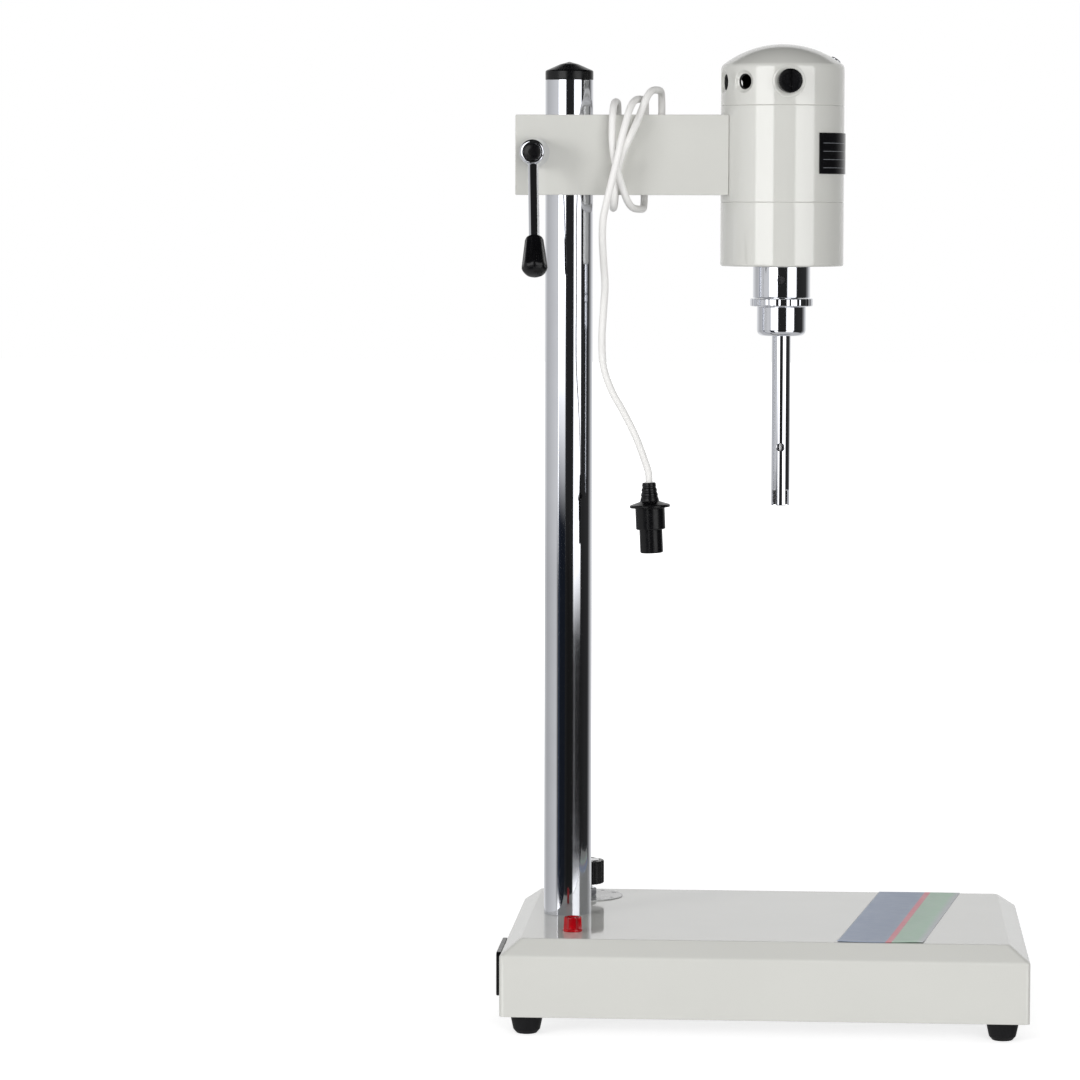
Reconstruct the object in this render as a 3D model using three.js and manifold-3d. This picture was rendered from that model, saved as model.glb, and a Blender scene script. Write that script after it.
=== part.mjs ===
// Laboratory homogenizer: a motor head on a sliding arm, on a column that stands on a low sheet metal base.
// Millimetres, +Z up. X runs from the column (rear) to the head (front), and the object stands on z = 0.
import * as THREE from 'three';
import { mergeVertices } from 'three/addons/utils/BufferGeometryUtils.js';
import Module from 'manifold-3d';

const wasm = await Module();
wasm.setup();

// Shared fits
const gap = 0.3;
const cutOverrun = 1;
const wideSides = 40;
const turnedSides = 24;
const middleSides = 24;
const smallSides = 16;

// Base
const baseLength = 344;
const baseWidth = 230;
const footHeight = 13;
const wallHeight = 40;
const bevelHeight = 10;
const bevelInset = 13;
const sheetThickness = 1.5;
const baseCornerRadius = 3;
const footInset = 17;
const footTopRadius = 11;
const footMidRadius = 8.8;
const footBottomRadius = 6.5;
const footMidHeight = 2.6;
const footRecessRadius = 3;
const footRecessDepth = 5;
const footStudRadius = 2.7;
const footStudReach = 4;

// Column
const columnSetback = 37.5;
const columnRadius = 16;
const columnWall = 2;
const columnHeight = 560.5;
const columnPlugHeight = 30;
const columnBoltRadius = 5;
const columnBoltReach = 25;
const columnBoltHeadAcross = 17;
const columnBoltHeadHeight = 6.4;
const supportClear = 15;
const supportThickness = 8;
const capRimHeight = 6;
const capConeHeight = 6;
const capShankLength = 16;
const capEdge = 0.8;

// Arm
const armBelowTop = 23.5;
const armHeight = 53;
const armWidth = 44;
const armTail = 34.5;
const armEdge = 1;
const headOffset = 142;
const linerWall = 0.95;
const facetRoom = 0.05;
const slitWidth = 3;
const clampSetback = 21.5;
const clampDrop = 25;
const clampScrewRadius = 3;
const clampNutAcross = 10;
const clampNutHeight = 5;
const clampScrewSpare = 1.2;

// Motor head
const headRadius = 41;
const headWall = 3;
const headDrop = 47;
const headEdge = 1;
const lowerHousingHeight = 42.4;
const middleHousingHeight = 63.6;
const topCoverHeight = 41;
const domeRise = 13.4;
const domeInset = 1.5;
const shoulderRise = 3.6;
const shoulderInsetShare = 0.25;
const shoulderRiseShare = 1 / 3;
const innerDomeShare = 1.2;
const headClock = 6.5;
const brushRise = 15.5;
const brushCapRadius = 8;
const brushCapProud = 9.5;
const brushCapSlotWidth = 2;
const brushCapSlotDepth = 1.5;
const brushCapEdge = 0.8;
const brushBossRadius = 10.8;
const brushBossProud = 0.4;
const brushHolderRadius = 6.5;
const brushHolderBore = 4.2;
const brushHolderClear = 3;
const brushWidth = 5;
const brushThickness = 6;
const brushEndInset = 4;
const ventRadius = 4.35;
const ventSinkRadius = 7.4;
const ventSinkDepth = 2.2;
const ventAngles = [45, 78, 102, 135];
const plateRise = 18.6;
const plateHeight = 27;
const plateThickness = 0.6;
const plateHalfAngle = 60;
const saddleScrewRadius = 3.7;
const saddleScrewHeadRadius = 6.5;
const saddleScrewHeadHeight = 3.6;
const saddleScrewSeat = 0.8;
const saddleScrewLength = 24;

// Motor
const floorThickness = 6;
const lowerBearingRadius = 11;
const lowerBearingBore = 4;
const lowerBearingHeight = 7;
const lowerBossRadius = 18;
const lowerLedge = 2.5;
const upperBearingRadius = 9.5;
const upperBearingBore = 3.3;
const upperBearingHeight = 6;
const upperBossRadius = 13;
const upperBossDrop = 14;
const upperRaceRoom = 1;
const fieldRise = 48;
const fieldHeight = 44;
const poleDepth = 16;
const fieldFlatInset = 5;
const fieldYoke = 10;
const fieldSlotHalfAngle = 26;
const armatureClear = 0.6;
const windingInset = 5;
const windingReach = 8;
const commutatorRadius = 11;
const commutatorHalfHeight = 9.5;
const motorShaftRadius = 6;
const motorShaftSpare = 0.7;
const fanRise = 22;
const fanHeight = 12;
const fanClear = 5;
const fanHubRadius = 9.5;
const fanDiscThickness = 2;
const fanBladeThickness = 1.4;
const fanBladeCount = 8;

// Spigot and dispersing tool
const spigotRadius = 19.15;
const spigotHeight = 21;
const spigotNeckRadius = 14;
const spigotNeckBore = 8;
const spigotRoof = 3.7;
const lockRingRadius = 20.85;
const lockRingHeight = 6;
const lockRingKnurls = 36;
const lockRingKnurlDepth = 0.35;
const collarShankRadius = 12;
const collarRadius = 16.35;
const collarHeight = 19.3;
const collarRounding = 4;
const collarPocketRadius = 7.8;
const collarPocketDepth = 12;
const setScrewRadius = 2.4;
const setScrewDrop = 9;
const toolReach = 159.6;
const toolRadius = 6.25;
const toolWall = 1;
const toolSeatDepth = 17;
const toolVentRadius = 2.9;
const toolVentHeight = 39;
const toolSlotWidth = 3.4;
const toolSlotLength = 10.5;
const toolSlotClock = 5;
const toolShaftRadius = 2.5;
const bushRise = 14;
const bushHeight = 10;
const rotorHeadHeight = 10;
const rotorHeadInset = 0.6;
const rotorBladeReach = 4.7;
const rotorBladeThickness = 2;
const couplingRadius = 7;
const couplingDrop = 14.5;
const couplingHeight = 14;
const couplingSplitRise = 9;

// Clamp lever
const leverHubRadius = 10;
const leverHubTipRadius = 8.2;
const leverHubLength = 25.7;
const leverFloor = 2.2;
const leverPlugRadius = 5.5;
const leverPlugProud = 2.2;
const leverPlugCrown = 1.1;
const leverPlugCrownShare = 0.8;
const leverPlugSeat = 1.8;
const leverAngle = 32.4;
const leverRest = 3.5;
const leverRodRadius = 3.5;
const leverRodRoot = 16.6;
const leverRodStart = 6.4;
const gripStart = 67.5;
const gripSeat = 13.5;
const gripLength = 26.5;
const gripTopRadius = 6;
const gripBottomRadius = 8.5;
const gripDome = 4;
const gripDomeShare = 0.45;
const gripFlutes = 8;
const gripFluteDepth = 0.5;

// Speed control and lamp
const knobSetback = 8;
const knobInset = 43;
const knobRadius = 12.75;
const knobRise = 9;
const knobHeight = 16;
const knobRibs = 24;
const knobRibDepth = 0.4;
const knobEdge = 0.7;
const knobCapRadius = 9.5;
const knobCapHeight = 2.3;
const knobCapSeat = 1.7;
const dialRadius = 25.75;
const dialThickness = 0.6;
const potRadius = 12;
const potHeight = 12;
const potNeckRadius = 4.5;
const potNeckReach = 7.5;
const potShaftRadius = 3;
const potShaftInset = 3;
const potNutAcross = 13;
const potNutHeight = 5.4;
const knobShaftDepth = 12;
const lampBaseRadius = 6.5;
const lampTopRadius = 5;
const lampStraight = 3;
const lampHeight = 9.5;
const lampBodyRadius = 4.3;
const lampBodyDepth = 14;
const lampFacets = 8;
const boardLength = 70;
const boardWidth = 70;
const boardThickness = 1.6;
const boardRise = 16;
const boardFront = 30;
const boardInset = 60;
const boardPostRadius = 3;
const boardPostInset = 5;
const heatSinkLength = 34;
const heatSinkWidth = 12;
const heatSinkHeight = 13;
const capacitorRadius = 6;
const capacitorHeight = 12;

// Rear sockets
const inletInset = 44;
const inletRise = 25.5;
const inletWidth = 58;
const inletTall = 29;
const inletFlange = 3;
const inletBodyMargin = 2;
const inletBodyDepth = 22;
const recessOffset = -13.5;
const recessWidth = 24.5;
const recessTall = 16.5;
const recessDepth = 16;
const recessCorner = 4;
const pinLength = 9;
const pinWidth = 4;
const pinThickness = 2;
const pinSpread = 7;
const pinRise = 2.5;
const rockerOffset = 15.5;
const rockerWidth = 13.4;
const rockerRadius = 9.4;
const rockerProud = 4;
const rockerTravel = 16;
const rockerPocketDepth = 12;
const leadSocketInset = 43;
const leadSocketRise = 25;
const leadSocketFlangeRadius = 11;
const leadSocketFlange = 1.2;
const leadSocketBodyRadius = 9.4;
const leadSocketDepth = 20;
const leadSocketBoreDepth = 12;
const leadPinRadius = 1;
const leadPinLength = 8;
const leadPinCircle = 4;
const leadPinCount = 3;

// Front label
const labelThickness = 0.3;
const labelWidth = 56;
const labelSetback = 125.1;
const labelSlant = 30;

// Motor lead
const cordRadius = 2.4;
const cordAngle = 133;
const cordRise = 28;
const glandLength = 14;
const glandFlangeRadius = 6;
const glandFlange = 2.7;
const glandRadius = 4.5;
const glandTipRadius = 3.6;
const glandNeckRadius = 3.9;
const plugTopOffset = 55.7;
const plugTopSide = -38.2;
const plugDrop = 216;
const plugTilt = 2.5;
const plugNeckTopRadius = 4.35;
const plugNeckRadius = 6.35;
const plugNeckLength = 12.5;
const plugRibs = 3;
const plugRibDepth = 0.6;
const plugRibShare = 0.25;
const plugLead = 6;
const plugSkirtRadius = 13.4;
const plugSkirtHeight = 4;
const plugSkirtEdge = 1.2;
const plugBodyRadius = 9.8;
const plugBodyLength = 14.5;
const plugEndRadius = 7.65;
const plugEndLength = 15.7;
const plugHoleRadius = 1.3;
const plugHoleDepth = 9;

// Places that follow from the sizes
const rearWall = (rockerProud - baseLength) / 2;
const baseMiddle = rearWall + baseLength / 2;
const deckTop = footHeight + wallHeight + bevelHeight;
const deckUnder = deckTop - sheetThickness;
const bottomPlateTop = footHeight + sheetThickness;
const columnX = rearWall + columnSetback;
const columnTop = deckTop + columnHeight;
const armRise = columnHeight - armBelowTop - armHeight;
const armBottom = deckTop + armRise;
const armTop = armBottom + armHeight;
const armMiddle = armBottom + armHeight / 2;
const armFront = armWidth / 2;
const headX = columnX + headOffset;
const headBottom = armBottom - headDrop;
const lowerTop = headBottom + lowerHousingHeight;
const middleTop = lowerTop + middleHousingHeight;
const headTop = middleTop + topCoverHeight;
const headInner = headRadius - headWall;
const fieldBore = headInner - poleDepth;
const fieldFlat = headInner - fieldFlatInset;
const fieldSlotRadius = headInner - fieldYoke;
const windingRadius = fieldBore - windingInset;
const fanRadius = headInner - fanClear;
const brushEnd = headInner - brushEndInset;
const brushHeight = middleTop + brushRise;
const plateBottom = lowerTop + plateRise;
const upperBossBottom = headTop - upperBossDrop;
const fieldBottom = headBottom + fieldRise;
const fanBottom = headBottom + fanRise;
const setScrewHeight = headBottom - setScrewDrop;
const toolBottom = headBottom - toolReach;
const couplingBottom = headBottom - couplingDrop;
const couplingSplit = couplingBottom + couplingSplitRise;
const cordHeight = armBottom + cordRise;
const knobX = columnX + knobSetback;
const knobSide = baseWidth / 2 - knobInset;
const supportSize = 2 * (knobSide - potRadius - supportClear);
const boardSide = baseWidth / 2 - boardInset;
const inletSide = inletInset - baseWidth / 2;
const leadSocketSide = baseWidth / 2 - leadSocketInset;
const knobBottom = deckTop + knobRise;
const inletHeight = footHeight + inletRise;
const leadSocketHeight = footHeight + leadSocketRise;
const labelStart = baseLength - columnSetback - labelSetback;
const ringTop = headBottom - spigotHeight;
const collarTop = ringTop - lockRingHeight;
const collarShankReach = spigotHeight + lockRingHeight - spigotRoof - gap;
const toolTop = collarTop - collarHeight + toolSeatDepth;

const degrees = THREE.MathUtils.degToRad;
const point = (x, y) => new THREE.Vector2(x, y);
const place = (x, y, z) => new THREE.Vector3(x, y, z);

function finish(colour, roughness, metalness) {
  return new THREE.MeshStandardMaterial({ color: colour, roughness, metalness });
}

const paint = finish(0xd6d6d0, 0.35, 0);
const chrome = finish(0xd9dade, 0.08, 1);
const steel = finish(0x9fa1a6, 0.35, 1);
const blackPlastic = finish(0x161618, 0.4, 0);
const rubber = finish(0x1b1b1d, 0.75, 0);
const whiteCord = finish(0xe9e8e6, 0.45, 0);
const redLens = finish(0xb00a1c, 0.15, 0);
const copper = finish(0xb4703c, 0.4, 1);
const nylon = finish(0xe6e2d6, 0.5, 0);
const carbon = finish(0x2c2c2e, 0.7, 0);
const boardGreen = finish(0x2f6b3c, 0.5, 0);
const labelFilm = finish(0x9eacbf, 0.3, 0);
const dialFilm = finish(0xc9c9c6, 0.3, 0.2);

// Closed geometry into a solid, and back
function solid(geometry) {
  const bare = geometry.clone();
  bare.deleteAttribute('normal');
  bare.deleteAttribute('uv');
  const merged = mergeVertices(bare);
  return new wasm.Manifold(new wasm.Mesh({
    numProp: 3,
    vertProperties: new Float32Array(merged.attributes.position.array),
    triVerts: new Uint32Array(merged.index.array),
  }));
}

function geometryOf(body) {
  const { vertProperties, triVerts } = body.getMesh();
  const geometry = new THREE.BufferGeometry();
  geometry.setAttribute('position', new THREE.BufferAttribute(vertProperties, 3));
  geometry.setIndex(new THREE.BufferAttribute(triVerts, 1));
  geometry.computeVertexNormals();
  return geometry;
}

const joined = (first, ...rest) => (
  geometryOf(rest.reduce((sum, next) => sum.add(solid(next)), solid(first)))
);
const cut = (first, ...rest) => (
  geometryOf(rest.reduce((sum, next) => sum.subtract(solid(next)), solid(first)))
);

// A piece turned about +Z: its outline of radius and height closes on itself or on the axis
function turned(outline, sides) {
  const points = outline.map(([radius, height]) => point(radius, height));
  if (outline[0][0] > 0) points.push(points[0].clone());
  return new THREE.LatheGeometry(points, sides).rotateX(Math.PI / 2);
}

function post(radius, bottom, top, sides = smallSides) {
  return turned([[0, bottom], [radius, bottom], [radius, top], [0, top]], sides);
}

function ring(outer, inner, bottom, top, sides) {
  return turned([[inner, bottom], [outer, bottom], [outer, top], [inner, top]], sides);
}

function block(x0, x1, y0, y1, z0, z1) {
  const box = new THREE.BoxGeometry(x1 - x0, y1 - y0, z1 - z0);
  return box.translate((x0 + x1) / 2, (y0 + y1) / 2, (z0 + z1) / 2);
}

function raised(shape, bottom, height) {
  return new THREE.ExtrudeGeometry(shape, { depth: height, bevelEnabled: false }).translate(0, 0, bottom);
}

const towardsX = (geometry) => geometry.rotateY(Math.PI / 2);
const towardsRear = (geometry) => geometry.rotateY(-Math.PI / 2);
const towardsY = (geometry) => geometry.rotateX(-Math.PI / 2);

function hexShape(across) {
  const corner = across / Math.sqrt(3);
  const corners = [0, 1, 2, 3, 4, 5].map((i) => degrees(60 * i));
  return new THREE.Shape(corners.map((a) => point(corner * Math.cos(a), corner * Math.sin(a))));
}

// A closed outline whose radius waves in and out between ribs
function ribbedShape(radius, depth, ribs, steps) {
  const count = ribs * steps;
  const points = Array.from({ length: count }, (_, i) => {
    const angle = (2 * Math.PI * i) / count;
    const reach = radius - (depth * (1 - Math.cos((2 * Math.PI * i) / steps))) / 2;
    return point(reach * Math.cos(angle), reach * Math.sin(angle));
  });
  return new THREE.Shape(points);
}

// Rings of equal count joined into one closed skin, with flat ends
function lofted(rings) {
  const count = rings[0].length;
  const positions = rings.flat().flatMap((p) => [p.x, p.y, p.z]);
  const faces = [];
  for (let level = 0; level + 1 < rings.length; level += 1) {
    for (let i = 0; i < count; i += 1) {
      const a = level * count + i;
      const b = level * count + ((i + 1) % count);
      faces.push(a, b, b + count, a, b + count, a + count);
    }
  }
  const last = (rings.length - 1) * count;
  for (let i = 1; i + 1 < count; i += 1) {
    faces.push(0, i + 1, i, last, last + i, last + i + 1);
  }
  const geometry = new THREE.BufferGeometry();
  geometry.setAttribute('position', new THREE.Float32BufferAttribute(positions, 3));
  geometry.setIndex(faces);
  geometry.computeVertexNormals();
  return geometry;
}

// A level rectangle with round corners, as a ring for lofted()
function rectangleRing(length, width, radius, height, cornerSteps = 3) {
  const ringPoints = [];
  for (let corner = 0; corner < 4; corner += 1) {
    const sideX = corner === 0 || corner === 3 ? 1 : -1;
    const sideY = corner < 2 ? 1 : -1;
    for (let step = 0; step <= cornerSteps; step += 1) {
      const angle = (Math.PI / 2) * (corner + step / cornerSteps);
      ringPoints.push(place(
        sideX * (length / 2 - radius) + radius * Math.cos(angle),
        sideY * (width / 2 - radius) + radius * Math.sin(angle),
        height,
      ));
    }
  }
  return ringPoints;
}

const machine = new THREE.Group();
const groupAt = (x, y, z, parent = machine) => {
  const group = new THREE.Group();
  group.position.set(x, y, z);
  parent.add(group);
  return group;
};
function part(name, geometry, material, parent = machine) {
  const mesh = new THREE.Mesh(geometry, material);
  mesh.name = name;
  parent.add(mesh);
  return mesh;
}

// Base cover: one folded sheet with a bevelled edge, open below
function baseCover() {
  const bevelSlope = Math.atan2(bevelHeight, bevelInset);
  const wallDrop = sheetThickness * Math.tan((Math.PI / 2 - bevelSlope) / 2);
  const deckInset = sheetThickness * Math.tan(bevelSlope / 2);
  const bevelBottom = footHeight + wallHeight;
  const inside = 2 * sheetThickness;
  const topLength = baseLength - 2 * bevelInset;
  const topWidth = baseWidth - 2 * bevelInset;
  const innerRadius = baseCornerRadius - sheetThickness;
  const outer = lofted([
    rectangleRing(baseLength, baseWidth, baseCornerRadius, footHeight),
    rectangleRing(baseLength, baseWidth, baseCornerRadius, bevelBottom),
    rectangleRing(topLength, topWidth, baseCornerRadius, deckTop),
  ]);
  const inner = lofted([
    rectangleRing(baseLength - inside, baseWidth - inside, innerRadius, footHeight - cutOverrun),
    rectangleRing(baseLength - inside, baseWidth - inside, innerRadius, bevelBottom - wallDrop),
    rectangleRing(topLength - 2 * deckInset, topWidth - 2 * deckInset, innerRadius, deckUnder),
  ]);
  const shell = cut(outer.translate(baseMiddle, 0, 0), inner.translate(baseMiddle, 0, 0));
  const deckHole = (radius, x, y) => (
    post(radius + gap, deckUnder - cutOverrun, deckTop + cutOverrun).translate(x, y, 0)
  );
  const inletHalf = inletWidth / 2 - inletBodyMargin + gap;
  const inletHalfTall = inletTall / 2 - inletBodyMargin + gap;
  const inletHole = block(
    rearWall - cutOverrun, rearWall + sheetThickness + cutOverrun,
    inletSide - inletHalf, inletSide + inletHalf,
    inletHeight - inletHalfTall, inletHeight + inletHalfTall,
  );
  const socketHole = towardsX(
    post(leadSocketBodyRadius + gap, -cutOverrun, sheetThickness + cutOverrun, middleSides),
  );
  return cut(
    shell,
    deckHole(columnBoltRadius, columnX, 0),
    deckHole(potNeckRadius, knobX, knobSide),
    deckHole(lampBodyRadius, knobX, -knobSide),
    inletHole,
    socketHole.translate(rearWall, leadSocketSide, leadSocketHeight),
  );
}
part('base_cover', baseCover(), paint);

const footX = baseLength / 2 - footInset;
const footY = baseWidth / 2 - footInset;
const footPlaces = [
  ['front_left', footX, footY],
  ['front_right', footX, -footY],
  ['rear_left', -footX, footY],
  ['rear_right', -footX, -footY],
];

// Bottom plate: inside the cover's walls, with a hole for each foot's stud
function bottomPlate() {
  const margin = 2 * (sheetThickness + gap);
  const length = baseLength - margin;
  const width = baseWidth - margin;
  const cornerRadius = baseCornerRadius - sheetThickness;
  const sheet = lofted([
    rectangleRing(length, width, cornerRadius, footHeight),
    rectangleRing(length, width, cornerRadius, bottomPlateTop),
  ]);
  const holes = footPlaces.map(([, x, y]) => (
    post(footStudRadius + gap, footHeight - cutOverrun, bottomPlateTop + cutOverrun).translate(x, y, 0)
  ));
  return cut(sheet, ...holes).translate(baseMiddle, 0, 0);
}
part('bottom_plate', bottomPlate(), steel);

function foot() {
  return turned([
    [0, footRecessDepth],
    [footRecessRadius, footRecessDepth],
    [footRecessRadius, 0],
    [footBottomRadius, 0],
    [footMidRadius, footMidHeight],
    [footTopRadius, footHeight],
    [footStudRadius, footHeight],
    [footStudRadius, footHeight + footStudReach],
    [0, footHeight + footStudReach],
  ], smallSides);
}
for (const [name, x, y] of footPlaces) {
  part(`foot_${name}`, foot(), rubber, groupAt(baseMiddle + x, y, 0));
}

// Column: a chromed tube with a threaded plug welded in its lower end
const columnGroup = groupAt(columnX, 0, 0);
part('column', turned([
  [columnBoltRadius + gap, deckTop],
  [columnRadius, deckTop],
  [columnRadius, columnTop],
  [columnRadius - columnWall, columnTop],
  [columnRadius - columnWall, deckTop + columnPlugHeight],
  [columnBoltRadius + gap, deckTop + columnPlugHeight],
], wideSides), chrome, columnGroup);

part('column_cap', turned([
  [0, columnTop - capShankLength],
  [columnRadius - columnWall - gap, columnTop - capShankLength],
  [columnRadius - columnWall - gap, columnTop],
  [columnRadius, columnTop],
  [columnRadius, columnTop + capRimHeight - capEdge],
  [columnRadius - capEdge, columnTop + capRimHeight],
  [0, columnTop + capRimHeight + capConeHeight],
], wideSides), blackPlastic, columnGroup);

// Support: a thick plate under the deck that spreads the column's load
const supportBottom = deckUnder - supportThickness;
function columnSupport() {
  const half = supportSize / 2;
  const reach = Math.min(half, columnSetback - sheetThickness - bevelInset);
  const plate = block(-reach, supportSize - reach, -half, half, supportBottom, deckUnder);
  return cut(plate, post(columnBoltRadius + gap, supportBottom - cutOverrun, deckUnder + cutOverrun));
}
part('column_support', columnSupport(), steel, columnGroup);
part('column_bolt', joined(
  raised(hexShape(columnBoltHeadAcross), supportBottom - columnBoltHeadHeight, columnBoltHeadHeight),
  post(columnBoltRadius, supportBottom - columnBoltHeadHeight / 2, deckTop + columnBoltReach),
), steel, columnGroup);

// Speed control: potentiometer under the deck, its nut and dial above, and the board that it steers
const knobGroup = groupAt(knobX, knobSide, 0);
const potTop = deckUnder - gap;
const potNeckTop = deckTop + potNeckReach;
const potFloor = potTop - potHeight + potShaftInset;
const potBore = potShaftRadius + gap;
part('potentiometer', turned([
  [0, potTop - potHeight],
  [potRadius, potTop - potHeight],
  [potRadius, potTop],
  [potNeckRadius, potTop],
  [potNeckRadius, potNeckTop],
  [potBore, potNeckTop],
  [potBore, potFloor],
  [0, potFloor],
], middleSides), steel, knobGroup);

function potNut() {
  const shape = hexShape(potNutAcross);
  shape.holes.push(new THREE.Path().absarc(0, 0, potNeckRadius + gap, 0, 2 * Math.PI, true));
  const hex = new THREE.ExtrudeGeometry(shape, {
    depth: potNutHeight,
    bevelEnabled: false,
    curveSegments: smallSides,
  });
  return hex.translate(0, 0, deckTop + dialThickness);
}
part('pot_nut', potNut(), chrome, knobGroup);
part(
  'dial_plate',
  ring(dialRadius, potNeckRadius + gap, deckTop, deckTop + dialThickness, wideSides),
  dialFilm,
  knobGroup,
);
part(
  'potentiometer_shaft',
  post(potShaftRadius, potFloor + gap, knobBottom + knobShaftDepth),
  steel,
  knobGroup,
);

function speedKnob() {
  const shape = ribbedShape(knobRadius - knobEdge, knobRibDepth, knobRibs, 2);
  const grip = new THREE.ExtrudeGeometry(shape, {
    depth: knobHeight - 2 * knobEdge,
    bevelSize: knobEdge,
    bevelThickness: knobEdge,
    bevelSegments: 1,
  }).translate(0, 0, knobBottom + knobEdge);
  const knobTop = knobBottom + knobHeight;
  return cut(
    grip,
    post(potShaftRadius + gap, knobBottom - cutOverrun, knobBottom + knobShaftDepth + gap),
    post(knobCapRadius + gap, knobTop - knobCapSeat, knobTop + cutOverrun, middleSides),
  );
}
part('speed_knob', speedKnob(), blackPlastic, knobGroup);
const knobCapBottom = knobBottom + knobHeight - knobCapSeat;
part('knob_cap', turned([
  [0, knobCapBottom],
  [knobCapRadius, knobCapBottom],
  [knobCapRadius, knobCapBottom + knobCapHeight - gap],
  [knobCapRadius - gap, knobCapBottom + knobCapHeight],
  [0, knobCapBottom + knobCapHeight],
], middleSides), chrome, knobGroup);

// Lamp: a faceted red lens on a round body that passes through the deck
part('indicator_lamp', joined(
  turned([
    [0, deckTop],
    [lampBaseRadius, deckTop],
    [lampBaseRadius, deckTop + lampStraight],
    [lampTopRadius, deckTop + lampHeight],
    [0, deckTop + lampHeight],
  ], lampFacets),
  post(lampBodyRadius, deckTop - lampBodyDepth, deckTop + lampStraight),
), redLens, groupAt(knobX, -knobSide, 0));

// Control board: stands on four posts on the bottom plate
function controlBoard() {
  const halfLength = boardLength / 2;
  const halfWidth = boardWidth / 2;
  const boardBottom = boardRise;
  const boardTop = boardRise + boardThickness;
  const postX = halfLength - boardPostInset;
  const postY = halfWidth - boardPostInset;
  const posts = [[postX, postY], [postX, -postY], [-postX, postY], [-postX, -postY]];
  const sinkLow = boardTop - boardThickness / 2;
  const boardPost = () => post(boardPostRadius, 0, boardBottom + boardThickness / 2, 12);
  return joined(
    block(-halfLength, halfLength, -halfWidth, halfWidth, boardBottom, boardTop),
    ...posts.map(([x, y]) => boardPost().translate(x, y, 0)),
    block(-heatSinkLength / 2, heatSinkLength / 2, -heatSinkWidth, 0, sinkLow, boardTop + heatSinkHeight),
    post(capacitorRadius, sinkLow, boardTop + capacitorHeight).translate(halfLength / 2, -halfWidth / 2, 0),
  );
}
part('control_board', controlBoard(), boardGreen, groupAt(columnX + boardFront, boardSide, bottomPlateTop));

// Mains inlet: flange outside, body through the rear wall, a recess with pins and a pocket for the rocker
function powerInlet() {
  const halfWidth = inletWidth / 2;
  const halfTall = inletTall / 2;
  const bodyWidth = halfWidth - inletBodyMargin;
  const bodyTall = halfTall - inletBodyMargin;
  const body = joined(
    block(-inletFlange, 0, -halfWidth, halfWidth, -halfTall, halfTall),
    block(-inletFlange / 2, inletBodyDepth, -bodyWidth, bodyWidth, -bodyTall, bodyTall),
  );
  const recessShape = new THREE.Shape([
    point(-recessTall / 2, -recessWidth / 2),
    point(recessTall / 2 - recessCorner, -recessWidth / 2),
    point(recessTall / 2, recessCorner - recessWidth / 2),
    point(recessTall / 2, recessWidth / 2 - recessCorner),
    point(recessTall / 2 - recessCorner, recessWidth / 2),
    point(-recessTall / 2, recessWidth / 2),
  ]);
  const recessEnd = recessDepth - inletFlange;
  const recess = towardsRear(raised(recessShape, -recessEnd, recessDepth + cutOverrun));
  const rockerHalf = rockerWidth / 2 + gap;
  const pocketTall = rockerRadius + gap;
  const pocket = block(
    -inletFlange - cutOverrun, rockerPocketDepth,
    rockerOffset - rockerHalf, rockerOffset + rockerHalf,
    -pocketTall, pocketTall,
  );
  const pinStart = recessEnd - pinLength;
  const pinEnd = recessEnd + cutOverrun;
  const pin = (y, z) => block(
    pinStart, pinEnd,
    recessOffset + y - pinThickness / 2, recessOffset + y + pinThickness / 2,
    z - pinWidth / 2, z + pinWidth / 2,
  );
  return joined(
    cut(body, recess.translate(0, recessOffset, 0), pocket),
    pin(-pinSpread, -pinRise / 2),
    pin(0, pinRise / 2),
    pin(pinSpread, -pinRise / 2),
  );
}
const inletGroup = groupAt(rearWall, inletSide, inletHeight);
part('power_inlet', powerInlet(), blackPlastic, inletGroup);

// Rocker: its sides lie on a circle about its pivot, and its face is a shallow V tipped to one side
function powerRocker() {
  const tipHeight = Math.sqrt(rockerRadius ** 2 - rockerProud ** 2);
  const faceDepth = rockerProud - tipHeight * Math.tan(degrees(rockerTravel));
  const lowHeight = Math.sqrt(rockerRadius ** 2 - faceDepth ** 2);
  const start = Math.atan2(tipHeight, -rockerProud);
  const end = Math.atan2(-lowHeight, -faceDepth);
  const arcSteps = 12;
  const outline = [point(-faceDepth, 0)];
  for (let step = 0; step <= arcSteps; step += 1) {
    const angle = start + ((end - start) * step) / arcSteps;
    outline.push(point(rockerRadius * Math.cos(angle), rockerRadius * Math.sin(angle)));
  }
  const body = raised(new THREE.Shape(outline), -rockerWidth / 2, rockerWidth);
  return body.rotateX(Math.PI / 2);
}
part('power_rocker', powerRocker(), blackPlastic, groupAt(0, rockerOffset, 0, inletGroup));

// Socket for the motor lead's plug
function leadSocket() {
  const bore = plugEndRadius + gap;
  const shell = turned([
    [0, -leadSocketDepth],
    [leadSocketBodyRadius, -leadSocketDepth],
    [leadSocketBodyRadius, gap],
    [leadSocketFlangeRadius, gap],
    [leadSocketFlangeRadius, leadSocketFlange],
    [bore, leadSocketFlange],
    [bore, -leadSocketBoreDepth],
    [0, -leadSocketBoreDepth],
  ], middleSides);
  const pinFoot = -leadSocketBoreDepth - cutOverrun;
  const pins = Array.from({ length: leadPinCount }, (_, i) => {
    const angle = (2 * Math.PI * i) / leadPinCount;
    const pin = post(leadPinRadius, pinFoot, leadPinLength - leadSocketBoreDepth, 8);
    return pin.translate(leadPinCircle * Math.cos(angle), leadPinCircle * Math.sin(angle), 0);
  });
  return towardsRear(joined(shell, ...pins));
}
part('lead_socket', leadSocket(), blackPlastic, groupAt(rearWall, leadSocketSide, leadSocketHeight));

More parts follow.
